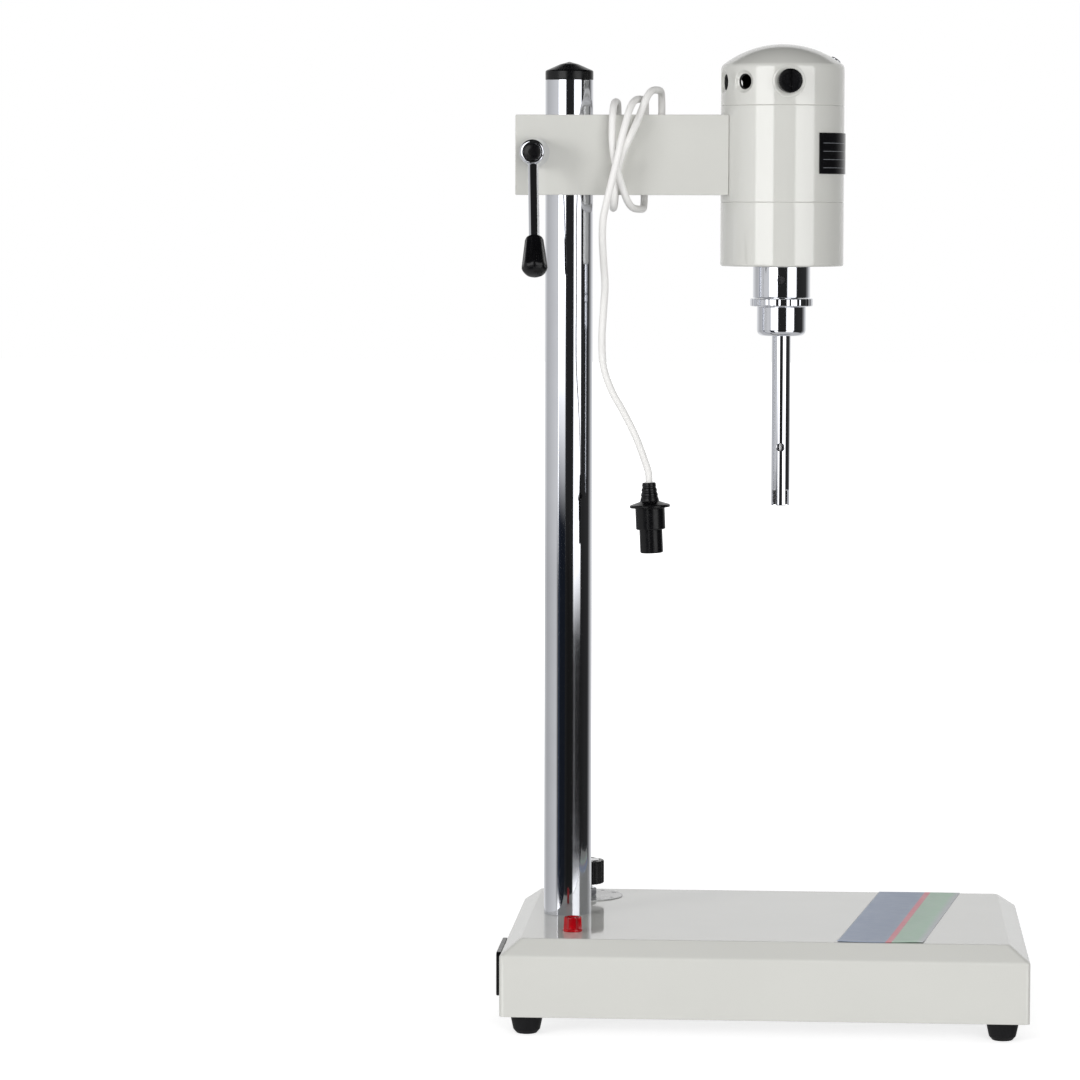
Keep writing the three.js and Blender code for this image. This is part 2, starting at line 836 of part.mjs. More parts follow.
// Front label: a slanted strip across the deck
function frontLabel() {
  const side = baseWidth / 2 - bevelInset;
  return raised(new THREE.Shape([
    point(labelStart, -side),
    point(labelStart + labelWidth, -side),
    point(labelStart + labelWidth + labelSlant, side),
    point(labelStart + labelSlant, side),
  ]), deckTop, labelThickness);
}
part('front_label', frontLabel(), labelFilm, columnGroup);

// Arm: a cast block that clamps on the column through a split liner, with a hollow saddle for the head
const linerBore = columnRadius + gap;
const linerRadius = linerBore + linerWall;
const armBore = linerRadius + gap + facetRoom;
const clampHeight = armTop - clampDrop;
const saddleRadius = headRadius + gap;

function armCasting() {
  const half = armFront - armEdge;
  const corner = Math.sqrt(saddleRadius ** 2 - half ** 2);
  const saddleAngle = Math.atan2(half, corner);
  const outline = new THREE.Shape();
  outline.moveTo(-armTail + armEdge, -half);
  outline.lineTo(headOffset - corner - armEdge, -half);
  outline.absarc(headOffset - armEdge, 0, saddleRadius, Math.PI + saddleAngle, Math.PI - saddleAngle, true);
  outline.lineTo(-armTail + armEdge, half);
  outline.closePath();
  const casting = new THREE.ExtrudeGeometry(outline, {
    depth: armHeight - 2 * armEdge,
    bevelSize: armEdge,
    bevelThickness: armEdge,
    bevelSegments: 1,
    curveSegments: smallSides,
  }).translate(0, 0, armBottom + armEdge);
  const through = (radius, sides) => post(radius, armBottom - cutOverrun, armTop + cutOverrun, sides);
  const saddle = through(saddleRadius, wideSides).translate(headOffset, 0, 0);
  const slit = block(
    -armTail - cutOverrun, 0,
    -slitWidth / 2, slitWidth / 2,
    armBottom - cutOverrun, armTop + cutOverrun,
  );
  const screwHole = towardsY(post(clampScrewRadius + gap, -armWidth, armWidth, smallSides));
  const boltHole = towardsX(post(saddleScrewRadius + gap, -saddleScrewLength - headRadius, 0, smallSides));
  return cut(
    casting,
    through(armBore, wideSides),
    saddle,
    slit,
    screwHole.translate(-clampSetback, 0, clampHeight),
    boltHole.translate(headOffset, 0, armMiddle),
  );
}
part('arm_casting', armCasting(), paint, columnGroup);

function clampLiner() {
  const sleeve = ring(linerRadius, linerBore, armBottom, armTop, wideSides);
  const split = block(
    -linerRadius - cutOverrun, 0,
    -slitWidth / 2, slitWidth / 2,
    armBottom - cutOverrun, armTop + cutOverrun,
  );
  return cut(sleeve, split);
}
part('clamp_liner', clampLiner(), nylon, columnGroup);

// Clamp screw, its nut behind the arm and the lever in front. The group's +Z leaves the arm along the screw.
const clampGroup = groupAt(-clampSetback, 0, clampHeight, columnGroup);
clampGroup.rotation.x = Math.PI / 2;
const hubStart = armFront + gap;
const leverBoreDepth = leverHubLength - leverPlugSeat - leverFloor;
const leverRodEnd = gripStart + gripSeat;
const nutStart = -armFront - gap - clampNutHeight;

function clampNut() {
  const shape = hexShape(clampNutAcross);
  shape.holes.push(new THREE.Path().absarc(0, 0, clampScrewRadius + gap, 0, 2 * Math.PI, true));
  return raised(shape, nutStart, clampNutHeight);
}
part('clamp_nut', clampNut(), steel, clampGroup);
part(
  'clamp_screw',
  post(clampScrewRadius, nutStart - clampScrewSpare, hubStart + leverBoreDepth - gap),
  steel,
  clampGroup,
);

// Lever: the hub's outline along its axis, with the rod leaving it at a slant towards the ground and, at rest,
// turned a little towards the head
function slanted(geometry) {
  const sloping = geometry.rotateX(degrees(90 - leverAngle)).rotateZ(degrees(leverRest));
  return sloping.translate(0, 0, hubStart + leverRodRoot);
}

function leverArm() {
  const screwRoom = clampScrewRadius + gap;
  const plugRoom = leverPlugRadius + gap;
  const hub = turned([
    [screwRoom, hubStart],
    [leverHubRadius, hubStart],
    [leverHubTipRadius, hubStart + leverHubLength],
    [plugRoom, hubStart + leverHubLength],
    [plugRoom, hubStart + leverHubLength - leverPlugSeat],
    [0, hubStart + leverHubLength - leverPlugSeat],
    [0, hubStart + leverBoreDepth],
    [screwRoom, hubStart + leverBoreDepth],
  ], middleSides);
  return joined(hub, slanted(post(leverRodRadius, leverRodStart, leverRodEnd, smallSides)));
}
part('lever_arm', leverArm(), chrome, clampGroup);

const leverPlugBottom = hubStart + leverHubLength - leverPlugSeat + gap;
part('lever_plug', turned([
  [0, leverPlugBottom],
  [leverPlugRadius, leverPlugBottom],
  [leverPlugRadius, leverPlugBottom + leverPlugProud],
  [leverPlugRadius / 2, leverPlugBottom + leverPlugProud + leverPlugCrown * leverPlugCrownShare],
  [0, leverPlugBottom + leverPlugProud + leverPlugCrown],
], smallSides), blackPlastic, clampGroup);

// Grip: flared, lightly fluted, with a domed end
function leverGrip() {
  const stationShares = [0, 0.12, 0.8, 0.92, 1];
  const fluteShares = [0, 1, 1, 0.5, 0];
  const slopeEnd = gripLength - gripDome;
  const radiusAt = (share) => {
    const along = share * gripLength;
    const body = gripTopRadius + ((gripBottomRadius - gripTopRadius) * Math.min(along, slopeEnd)) / slopeEnd;
    const over = Math.max(0, along - slopeEnd) / gripDome;
    return body * (1 - over * over * gripDomeShare);
  };
  const pointsPerFlute = 4;
  const count = gripFlutes * pointsPerFlute;
  const rings = stationShares.map((share, level) => Array.from({ length: count }, (_, i) => {
    const angle = (2 * Math.PI * i) / count;
    const wave = (1 - Math.cos(gripFlutes * angle)) / 2;
    const radius = radiusAt(share) - gripFluteDepth * fluteShares[level] * wave;
    return place(radius * Math.cos(angle), radius * Math.sin(angle), gripStart + share * gripLength);
  }));
  const bore = post(leverRodRadius + gap, gripStart - cutOverrun, leverRodEnd + gap, smallSides);
  return slanted(cut(lofted(rings), bore));
}
part('lever_grip', leverGrip(), blackPlastic, clampGroup);

// Motor head: three housings stacked on one axis
const headGroup = groupAt(headX, 0, 0);
const bossTop = headBottom + floorThickness + lowerLedge + lowerBearingHeight + gap;
const ledgeTop = headBottom + floorThickness + lowerLedge;
part('head_lower', turned([
  [spigotNeckRadius + gap, headBottom],
  [headRadius - headEdge, headBottom],
  [headRadius, headBottom + headEdge],
  [headRadius, lowerTop],
  [headInner, lowerTop],
  [headInner, headBottom + floorThickness],
  [lowerBossRadius, headBottom + floorThickness],
  [lowerBossRadius, bossTop],
  [lowerBearingRadius + gap, bossTop],
  [lowerBearingRadius + gap, ledgeTop],
  [spigotNeckBore, ledgeTop],
  [spigotNeckBore, headBottom + floorThickness],
  [spigotNeckRadius + gap, headBottom + floorThickness],
], wideSides), paint, headGroup);

// The lead's gland stands square on the middle housing, and local +X leaves the head there
const glandGroup = groupAt(0, 0, cordHeight, headGroup);
glandGroup.rotation.z = degrees(cordAngle);

function headMiddle() {
  const tube = ring(headRadius, headInner, lowerTop, middleTop, wideSides);
  const screwHole = towardsX(post(saddleScrewRadius + gap, -headRadius - cutOverrun, 0, smallSides));
  const cordHole = towardsX(post(glandNeckRadius + gap, 0, headRadius + cutOverrun, smallSides));
  return cut(
    tube,
    screwHole.translate(0, 0, armMiddle),
    cordHole.rotateZ(degrees(cordAngle)).translate(0, 0, cordHeight),
  );
}
part('head_middle', headMiddle(), paint, headGroup);

// Top cover: a round shoulder and a shallow dome, two flat bosses for the brushes and four sunk air holes
const domeEdge = headRadius - domeInset;
const domeRadius = (domeEdge ** 2 + domeRise ** 2) / (2 * domeRise);
function domeOutline(offset, steps) {
  const reach = domeRadius - offset;
  const endAngle = Math.asin((domeEdge - offset * innerDomeShare) / reach);
  return Array.from({ length: steps + 1 }, (_, i) => {
    const angle = (endAngle * i) / steps;
    return [reach * Math.sin(angle), headTop - domeRadius + reach * Math.cos(angle)];
  });
}

function headCover() {
  const outerSteps = 4;
  const innerSteps = 3;
  const outerDome = domeOutline(0, outerSteps).reverse();
  const innerDome = domeOutline(headWall, innerSteps).filter(([radius]) => radius > upperBossRadius);
  const shoulderTop = headTop - domeRise;
  const bearingRoof = upperBossBottom + upperRaceRoom + upperBearingHeight + 2 * gap;
  const innerBoss = headTop - domeRadius + Math.sqrt((domeRadius - headWall) ** 2 - upperBossRadius ** 2);
  const shell = turned([
    [0, bearingRoof],
    [upperBearingRadius + gap, bearingRoof],
    [upperBearingRadius + gap, upperBossBottom],
    [upperBossRadius, upperBossBottom],
    [upperBossRadius, innerBoss],
    ...innerDome,
    [headInner, shoulderTop - shoulderRise],
    [headInner, middleTop],
    [headRadius, middleTop],
    [headRadius, shoulderTop - shoulderRise],
    [headRadius - domeInset * shoulderInsetShare, shoulderTop - shoulderRise * shoulderRiseShare],
    ...outerDome,
  ], wideSides);
  const sides = [0, 180];
  const turnedTo = (geometry, angle) => (
    towardsX(geometry).rotateZ(degrees(angle - 90 + headClock)).translate(0, 0, brushHeight)
  );
  const bosses = sides.map((angle) => (
    turnedTo(post(brushBossRadius, headInner + gap, headRadius + brushBossProud, middleSides), angle)
  ));
  const holderHoles = sides.map((angle) => (
    turnedTo(post(brushHolderRadius + gap, headInner / 2, headRadius + headWall, smallSides), angle)
  ));
  const ventReach = headRadius + cutOverrun;
  const flare = (ventSinkRadius - ventRadius) / ventSinkDepth;
  const vent = turned([
    [0, headInner / 2],
    [ventRadius, headInner / 2],
    [ventRadius, headRadius - ventSinkDepth],
    [ventSinkRadius + flare * cutOverrun, ventReach],
    [0, ventReach],
  ], smallSides);
  const vents = ventAngles.map((angle) => turnedTo(vent.clone(), -angle));
  return cut(joined(shell, ...bosses), ...holderHoles, ...vents);
}
part('head_cover', headCover(), paint, headGroup);

// Plate: a thin black sector round the middle housing, facing the front
function ratingPlate() {
  const inner = headRadius + gap;
  const half = degrees(plateHalfAngle);
  const sector = new THREE.Shape();
  sector.absarc(0, 0, inner + plateThickness, -half, half, false);
  sector.absarc(0, 0, inner, half, -half, true);
  const plate = new THREE.ExtrudeGeometry(sector, {
    depth: plateHeight,
    bevelEnabled: false,
    curveSegments: smallSides,
  });
  return plate.rotateZ(degrees(headClock)).translate(0, 0, plateBottom);
}
part('rating_plate', ratingPlate(), blackPlastic, headGroup);

// The screw that pulls the head into the arm's saddle, from inside the housing
const saddleHeadFace = headInner - saddleScrewSeat;
part('saddle_screw', towardsX(joined(
  post(saddleScrewHeadRadius, -saddleHeadFace, saddleScrewHeadHeight - saddleHeadFace, smallSides),
  post(
    saddleScrewRadius,
    -saddleHeadFace - saddleScrewLength,
    -saddleHeadFace + saddleScrewHeadHeight / 2,
    smallSides,
  ),
)).translate(0, 0, armMiddle), steel, headGroup);

// Motor field: a laminated ring with two flats, two pole faces and a winding space on each side
function motorField() {
  const radius = headInner - gap;
  const flatAngle = Math.acos(fieldFlat / radius);
  const outline = new THREE.Shape();
  outline.absarc(0, 0, radius, flatAngle, Math.PI - flatAngle, false);
  outline.absarc(0, 0, radius, Math.PI + flatAngle, 2 * Math.PI - flatAngle, false);
  outline.closePath();
  const slot = degrees(fieldSlotHalfAngle);
  const fieldArcSteps = 9;
  const window = new THREE.Path();
  window.absarc(0, 0, fieldSlotRadius, -slot, slot, false);
  window.absarc(0, 0, fieldBore, slot, Math.PI - slot, false);
  window.absarc(0, 0, fieldSlotRadius, Math.PI - slot, Math.PI + slot, false);
  window.absarc(0, 0, fieldBore, Math.PI + slot, 2 * Math.PI - slot, false);
  window.closePath();
  outline.holes.push(window);
  return new THREE.ExtrudeGeometry(outline, {
    depth: fieldHeight,
    bevelEnabled: false,
    curveSegments: fieldArcSteps,
  }).translate(0, 0, fieldBottom);
}
part('motor_field', motorField(), copper, headGroup);

const lowerRace = ledgeTop + lowerBearingHeight;
part(
  'bearing_lower',
  ring(lowerBearingRadius, lowerBearingBore, ledgeTop, lowerRace, middleSides),
  steel,
  headGroup,
);
const upperRaceBottom = upperBossBottom + upperRaceRoom;
const upperRaceTop = upperRaceBottom + upperBearingHeight;
part(
  'bearing_upper',
  ring(upperBearingRadius, upperBearingBore, upperRaceBottom, upperRaceTop, middleSides),
  steel,
  headGroup,
);

// Brush gear: a holder, a carbon brush and a screwed cap on each side
const brushSides = [['right', 0], ['left', 180]];
for (const [side, angle] of brushSides) {
  const group = groupAt(0, 0, brushHeight, headGroup);
  group.rotation.z = degrees(angle - 90 + headClock);
  const holderEnd = headRadius + brushBossProud - gap;
  const holderStart = commutatorRadius + brushHolderClear;
  const holder = ring(brushHolderRadius, brushHolderBore, holderStart, holderEnd, smallSides);
  part(`brush_holder_${side}`, towardsX(holder), steel, group);
  part(`brush_${side}`, block(
    commutatorRadius + gap, brushEnd,
    -brushWidth / 2, brushWidth / 2,
    -brushThickness / 2, brushThickness / 2,
  ), carbon, group);
  const capFace = headRadius + brushBossProud + gap;
  const capEnd = capFace + brushCapProud;
  const cap = cut(
    turned([
      [0, brushEnd + gap],
      [brushHolderBore - gap, brushEnd + gap],
      [brushHolderBore - gap, capFace],
      [brushCapRadius, capFace],
      [brushCapRadius, capEnd - brushCapEdge],
      [brushCapRadius - brushCapEdge, capEnd],
      [0, capEnd],
    ], middleSides),
    block(
      -brushCapRadius - cutOverrun, brushCapRadius + cutOverrun,
      -brushCapSlotWidth / 2, brushCapSlotWidth / 2,
      capEnd - brushCapSlotDepth, capEnd + cutOverrun,
    ),
  );
  part(`brush_cap_${side}`, towardsX(cap), blackPlastic, group);
}

// Rotor: shaft, armature with its commutator, fan, coupling and the tool's own shaft
const shaftTop = upperRaceTop;
const shaftShoulder = lowerRace + motorShaftSpare;
const shaftJournal = lowerBearingBore - gap;
const upperJournal = upperBearingBore - gap;
const shaftBottom = couplingSplit + gap;
part('motor_shaft', turned([
  [0, shaftBottom],
  [shaftJournal, shaftBottom],
  [shaftJournal, shaftShoulder],
  [motorShaftRadius, shaftShoulder],
  [motorShaftRadius, upperBossBottom],
  [upperJournal, upperBossBottom],
  [upperJournal, shaftTop],
  [0, shaftTop],
], smallSides), steel, headGroup);

const shaftBore = motorShaftRadius + gap;
const fieldTop = fieldBottom + fieldHeight;
part('armature', turned([
  [shaftBore, fieldBottom - windingReach],
  [windingRadius, fieldBottom - windingReach],
  [windingRadius, fieldBottom],
  [fieldBore - armatureClear, fieldBottom],
  [fieldBore - armatureClear, fieldTop],
  [windingRadius, fieldTop],
  [windingRadius, fieldTop + windingReach],
  [commutatorRadius, brushHeight - commutatorHalfHeight],
  [commutatorRadius, brushHeight + commutatorHalfHeight],
  [shaftBore, brushHeight + commutatorHalfHeight],
], smallSides), copper, headGroup);

function coolingFan() {
  const fanTop = fanBottom + fanHeight;
  const disc = ring(fanRadius, shaftBore, fanTop - fanDiscThickness, fanTop, middleSides);
  const hub = ring(fanHubRadius, shaftBore, fanBottom, fanTop, middleSides);
  const blades = Array.from({ length: fanBladeCount }, (_, i) => block(
    fanHubRadius - gap, fanRadius - gap,
    -fanBladeThickness / 2, fanBladeThickness / 2,
    fanBottom, fanTop - fanDiscThickness / 2,
  ).rotateZ((2 * Math.PI * i) / fanBladeCount));
  return joined(disc, hub, ...blades);
}
part('cooling_fan', coolingFan(), nylon, headGroup);

const toolBore = toolShaftRadius + gap;
part('drive_coupling', turned([
  [toolBore, couplingBottom],
  [couplingRadius, couplingBottom],
  [couplingRadius, couplingBottom + couplingHeight],
  [shaftJournal + gap, couplingBottom + couplingHeight],
  [shaftJournal + gap, couplingSplit],
  [toolBore, couplingSplit],
], middleSides), steel, headGroup);

// Spigot, lock ring and the dispersing tool below the head
function spigot() {
  const bore = collarShankRadius + gap;
  const roof = headBottom - spigotRoof;
  const neckTop = headBottom + floorThickness - gap;
  const body = turned([
    [bore, ringTop],
    [spigotRadius, ringTop],
    [spigotRadius, headBottom],
    [spigotNeckRadius, headBottom],
    [spigotNeckRadius, neckTop],
    [spigotNeckBore, neckTop],
    [spigotNeckBore, roof],
    [bore, roof],
  ], turnedSides);
  const screwHole = towardsX(post(setScrewRadius + gap, 0, spigotRadius + cutOverrun, smallSides));
  return cut(body, screwHole.rotateZ(degrees(-90)).translate(0, 0, setScrewHeight));
}
part('spigot', spigot(), chrome, headGroup);
part('spigot_set_screw', towardsX(
  post(setScrewRadius, collarShankRadius + gap, spigotRadius - gap, smallSides),
).rotateZ(degrees(-90)).translate(0, 0, setScrewHeight), steel, headGroup);

function lockRing() {
  const shape = ribbedShape(lockRingRadius, lockRingKnurlDepth, lockRingKnurls, 2);
  const body = raised(shape, collarTop + gap, lockRingHeight - 2 * gap);
  return cut(body, post(collarShankRadius + gap, collarTop, ringTop, middleSides));
}
part('lock_ring', lockRing(), chrome, headGroup);

const roundingSteps = 3;
const collarBottom = collarTop - collarHeight;
const pocketFloor = collarTop + collarShankReach - collarPocketDepth;
const shaftRoom = toolShaftRadius + toolWall;
part('tool_collar', turned([
  [toolRadius + gap, collarBottom],
  ...Array.from({ length: roundingSteps + 1 }, (_, i) => {
    const angle = (Math.PI / 2) * (i / roundingSteps - 1);
    return [
      collarRadius - collarRounding + collarRounding * Math.cos(angle),
      collarBottom + collarRounding + collarRounding * Math.sin(angle),
    ];
  }),
  [collarRadius, collarTop],
  [collarShankRadius, collarTop],
  [collarShankRadius, collarTop + collarShankReach],
  [collarPocketRadius, collarTop + collarShankReach],
  [collarPocketRadius, pocketFloor],
  [shaftRoom, pocketFloor],
  [shaftRoom, toolTop + gap],
  [toolRadius + gap, toolTop + gap],
], turnedSides), chrome, headGroup);

// Tool tube: an air hole right through and four slots in its end
function toolTube() {
  const tube = ring(toolRadius, toolRadius - toolWall, toolBottom, toolTop, middleSides);
  const vent = towardsY(post(toolVentRadius, -toolRadius - cutOverrun, toolRadius + cutOverrun, smallSides));
  const slots = [45, 135].map((angle) => block(
    -toolRadius - cutOverrun, toolRadius + cutOverrun,
    -toolSlotWidth / 2, toolSlotWidth / 2,
    toolBottom - cutOverrun, toolBottom + toolSlotLength,
  ).rotateZ(degrees(angle + toolSlotClock)));
  return cut(tube, vent.translate(0, 0, toolBottom + toolVentHeight), ...slots);
}
part('tool_tube', toolTube(), chrome, headGroup);
const bushRadius = toolRadius - toolWall - gap;
const bushBottom = toolBottom + bushRise;
part(
  'tool_bush',
  ring(bushRadius, toolBore, bushBottom, bushBottom + bushHeight, smallSides),
  nylon,
  headGroup,
);
const rotorHeadTop = toolBottom + rotorHeadInset + rotorHeadHeight;
part('tool_shaft', post(toolShaftRadius, rotorHeadTop, couplingSplit - gap), steel, headGroup);
part('rotor_head', joined(
  post(toolShaftRadius, toolBottom + rotorHeadInset, rotorHeadTop),
  block(
    -rotorBladeReach, rotorBladeReach,
    -rotorBladeThickness / 2, rotorBladeThickness / 2,
    toolBottom + rotorHeadInset, rotorHeadTop - rotorHeadInset,
  ),
), steel, headGroup);

// Gland of the motor lead, square on the middle housing
const glandEnd = headRadius + gap + glandLength;
part('cord_gland', towardsX(turned([
  [0, headInner + gap / 2],
  [glandNeckRadius, headInner + gap / 2],
  [glandNeckRadius, headRadius + gap],
  [glandFlangeRadius, headRadius + gap],
  [glandFlangeRadius, headRadius + gap + glandFlange],
  [glandRadius, headRadius + gap + glandFlange],
  [glandTipRadius, glandEnd],
  [0, glandEnd],
], smallSides)), rubber, glandGroup);

// The motor lead, in a frame on the column at the arm's middle: behind the arm, wound round it, then hanging
const cordGroup = groupAt(0, 0, armMiddle, columnGroup);
const glandX = headOffset + (glandEnd + gap) * Math.cos(degrees(cordAngle));
const glandY = (glandEnd + gap) * Math.sin(degrees(cordAngle));
const windingStart = place(59.4, 27.3, 0);
const leadPoints = [
  place(glandX, glandY, cordHeight - armMiddle),
  place(100.2, 44.9, 1.3),
  place(93.2, 50, -1.5),
  place(84, 51.6, -7.7),
  place(75, 48.6, -13.9),
  place(67.4, 42, -17.1),
  place(62.2, 34.6, -15.5),
  place(59.9, 29.2, -9.9),
  place(59.5, 27.4, -5.1),
  place(windingStart.x, windingStart.y, windingStart.z - gap),
];

// One station each quarter turn: behind, over, in front, under. reach is measured from the arm's middle line.
const windingStations = [
  { x: 59.4, reach: 27.3 },
  { x: 58.9, reach: 43.2 },
  { x: 36.7, reach: 27.3 },
  { x: 29.5, reach: 35.2 },
  { x: 30.6, reach: 27.3 },
  { x: 31.6, reach: 35.2 },
  { x: 31.4, reach: 33 },
  { x: 47.6, reach: 35.8 },
  { x: 48.4, reach: 27.3 },
  { x: 48.8, reach: 37 },
  { x: 34.7, reach: 38.7 },
];
const windingExit = place(26.1, -38.7, -35.9);
const stepsPerTurn = 24;
const windingSides = 6;
const cornerPower = 4;

// The path is a rounded rectangle |y/a|^4 + |z/b|^4 = 1 whose two reaches ease from one station to the next
function windingPoint(quarter) {
  const last = windingStations.length - 1;
  const eased = (t) => (1 - Math.cos(Math.PI * t)) / 2;
  const mixed = (parity, key) => {
    const before = Math.max(parity, Math.floor((quarter - parity) / 2) * 2 + parity);
    const first = Math.min(before, parity === 0 ? last : last - 1);
    const next = Math.min(first + 2, parity === 0 ? last : last - 1);
    const share = next === first ? 0 : Math.max(0, Math.min(1, (quarter - first) / 2));
    return THREE.MathUtils.lerp(windingStations[first][key], windingStations[next][key], eased(share));
  };
  const sideReach = mixed(0, 'reach');
  const heightReach = mixed(1, 'reach');
  const angle = (Math.PI / 2) * quarter;
  const y = Math.cos(angle);
  const z = Math.sin(angle);
  const size = (Math.abs(y / sideReach) ** cornerPower + Math.abs(z / heightReach) ** cornerPower)
    ** (-1 / cornerPower);
  const first = Math.min(Math.floor(quarter), last - 1);
  const station = (i) => windingStations[Math.max(0, Math.min(last, i))].x;
  const t = quarter - first;
  const slopeIn = (station(first + 1) - station(first - 1)) / 2;
  const ahead = first + 1 === last ? windingExit.x : station(first + 2);
  const slopeOut = (ahead - station(first)) / 2;
  const x = (2 * t ** 3 - 3 * t ** 2 + 1) * station(first) + (t ** 3 - 2 * t ** 2 + t) * slopeIn
    + (3 * t ** 2 - 2 * t ** 3) * station(first + 1) + (t ** 3 - t ** 2) * slopeOut;
  return place(x, size * y, size * z);
}

function windingCentres() {
  const quarters = windingStations.length - 1;
  const count = (quarters * stepsPerTurn) / 4;
  const centres = Array.from({ length: count + 1 }, (_, i) => windingPoint((quarters * i) / count));
  const exitSteps = 3;
  const from = centres[count];
  for (let step = 1; step <= exitSteps; step += 1) {
    centres.push(from.clone().lerp(windingExit, step / exitSteps));
  }
  return centres;
}

// A tube of flat sides along computed centres; the ends are square to straight end stretches
function windingTube(centres) {
  const axis = place(1, 0, 0);
  const rings = centres.map((centre, i) => {
    const before = centres[Math.max(0, i - 1)];
    const after = centres[Math.min(centres.length - 1, i + 1)];
    const along = after.clone().sub(before).normalize();
    const side = axis.clone().addScaledVector(along, -axis.dot(along)).normalize();
    const out = along.clone().cross(side);
    return Array.from({ length: windingSides }, (_, k) => {
      const angle = (2 * Math.PI * k) / windingSides;
      return centre.clone()
        .addScaledVector(side, cordRadius * Math.cos(angle))
        .addScaledVector(out, cordRadius * Math.sin(angle));
    });
  });
  return lofted(rings);
}

// Least gap between stretches of the winding that lie more than a third of a turn apart along it
function leastGap() {
  const finer = 6;
  const quarters = windingStations.length - 1;
  const count = (quarters * stepsPerTurn * finer) / 4;
  const points = Array.from({ length: count + 1 }, (_, i) => windingPoint((quarters * i) / count));
  const exitSteps = 20;
  for (let step = 1; step <= exitSteps; step += 1) {
    points.push(points[count].clone().lerp(windingExit, step / exitSteps));
  }
  const apart = (stepsPerTurn * finer) / 3;
  let least = Infinity;
  for (let i = 0; i < points.length; i += 1) {
    for (let j = i + apart; j < points.length; j += 1) {
      least = Math.min(least, points[i].distanceTo(points[j]) - 2 * cordRadius);
    }
  }
  return least;
}

const plugAxis = place(Math.sin(degrees(plugTilt)), 0, -Math.cos(degrees(plugTilt)));
const plugTopHeight = armMiddle - plugDrop;
const plugTop = place(plugTopOffset, plugTopSide, plugTopHeight - armMiddle);
const exitAxis = windingExit.clone().sub(windingPoint(windingStations.length - 1)).normalize();
const dropPoints = [
  windingExit.clone().addScaledVector(exitAxis, gap),
  place(24.9, -38.7, -42.1),
  place(24.4, -38.7, -54),
  place(25.2, -38.6, -70),
  place(26.2, -38.5, -85.9),
  place(25.3, -38.4, -101.9),
  place(24.3, -38.3, -121.5),
  place(25.4, -38.2, -139.5),
  place(30.6, -38.2, -154.9),
  place(38.8, -38.2, -169.7),
  place(46.8, -38.2, -185.7),
  place(52.6, -38.2, -200.9),
  plugTop.clone().addScaledVector(plugAxis, -plugLead),
  plugTop.clone().addScaledVector(plugAxis, -gap),
];

function freeTube(points, steps, sides) {
  const section = new THREE.Shape(Array.from({ length: sides }, (_, i) => {
    const angle = (2 * Math.PI * i) / sides;
    return point(cordRadius * Math.cos(angle), cordRadius * Math.sin(angle));
  }));
  return new THREE.ExtrudeGeometry(section, {
    steps,
    extrudePath: new THREE.CatmullRomCurve3(points, false, 'centripetal'),
    bevelEnabled: false,
  });
}

const centres = windingCentres();
part('cord_lead', freeTube(leadPoints, 12, 8), whiteCord, cordGroup);
part('cord_winding', windingTube(centres), whiteCord, cordGroup);
part('cord_drop', freeTube(dropPoints, 20, 8), whiteCord, cordGroup);

const lengthOf = (points) => points.slice(1).reduce((sum, p, i) => sum + p.distanceTo(points[i]), 0);
const curveLength = (points) => new THREE.CatmullRomCurve3(points, false, 'centripetal').getLength();
console.log(`least gap of the winding to itself: ${leastGap().toFixed(2)} mm`);
console.log(`cord lengths, lead, winding, drop: ${[
  curveLength(leadPoints), lengthOf(centres), curveLength(dropPoints),
].map((length) => length.toFixed(0)).join(', ')} mm`);

// Plug: ribbed neck, wide skirt, body and round nose with three holes in its end
function cordPlug() {
  const neckEnd = -plugNeckLength;
  const ribPitch = plugNeckLength / (plugRibs + 1);
  const ribSide = ribPitch * plugRibShare;
  const neckFlare = (plugNeckRadius - plugNeckTopRadius) / plugNeckLength;
  const neckRadius = (depth) => plugNeckTopRadius + neckFlare * depth;
  const neck = [];
  for (let rib = 1; rib <= plugRibs; rib += 1) {
    const depth = rib * ribPitch;
    neck.push([neckRadius(depth - ribSide), ribSide - depth]);
    neck.push([neckRadius(depth) - plugRibDepth, -depth]);
    neck.push([neckRadius(depth + ribSide), -depth - ribSide]);
  }
  const skirtBottom = neckEnd - plugSkirtHeight;
  const bodyBottom = neckEnd - plugBodyLength - plugSkirtHeight;
  const endBottom = bodyBottom - plugEndLength;
  const body = turned([
    [0, 0],
    [plugNeckTopRadius, 0],
    ...neck,
    [plugNeckRadius, neckEnd],
    [plugSkirtRadius, skirtBottom + plugSkirtEdge],
    [plugSkirtRadius, skirtBottom],
    [plugBodyRadius, skirtBottom],
    [plugBodyRadius, bodyBottom],
    [plugEndRadius, bodyBottom],
    [plugEndRadius, endBottom],
    [0, endBottom],
  ].reverse(), smallSides);
  const holes = Array.from({ length: leadPinCount }, (_, i) => {
    const angle = (2 * Math.PI * i) / leadPinCount;
    const hole = post(plugHoleRadius, endBottom - cutOverrun, endBottom + plugHoleDepth, 8);
    return hole.translate(leadPinCircle * Math.cos(angle), leadPinCircle * Math.sin(angle), 0);
  });
  return cut(body, ...holes);
}
const plugGroup = groupAt(plugTop.x, plugTop.y, plugTop.z, cordGroup);
plugGroup.rotation.y = -degrees(plugTilt);
part('cord_plug', cordPlug(), rubber, plugGroup);

export default machine;
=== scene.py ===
import math

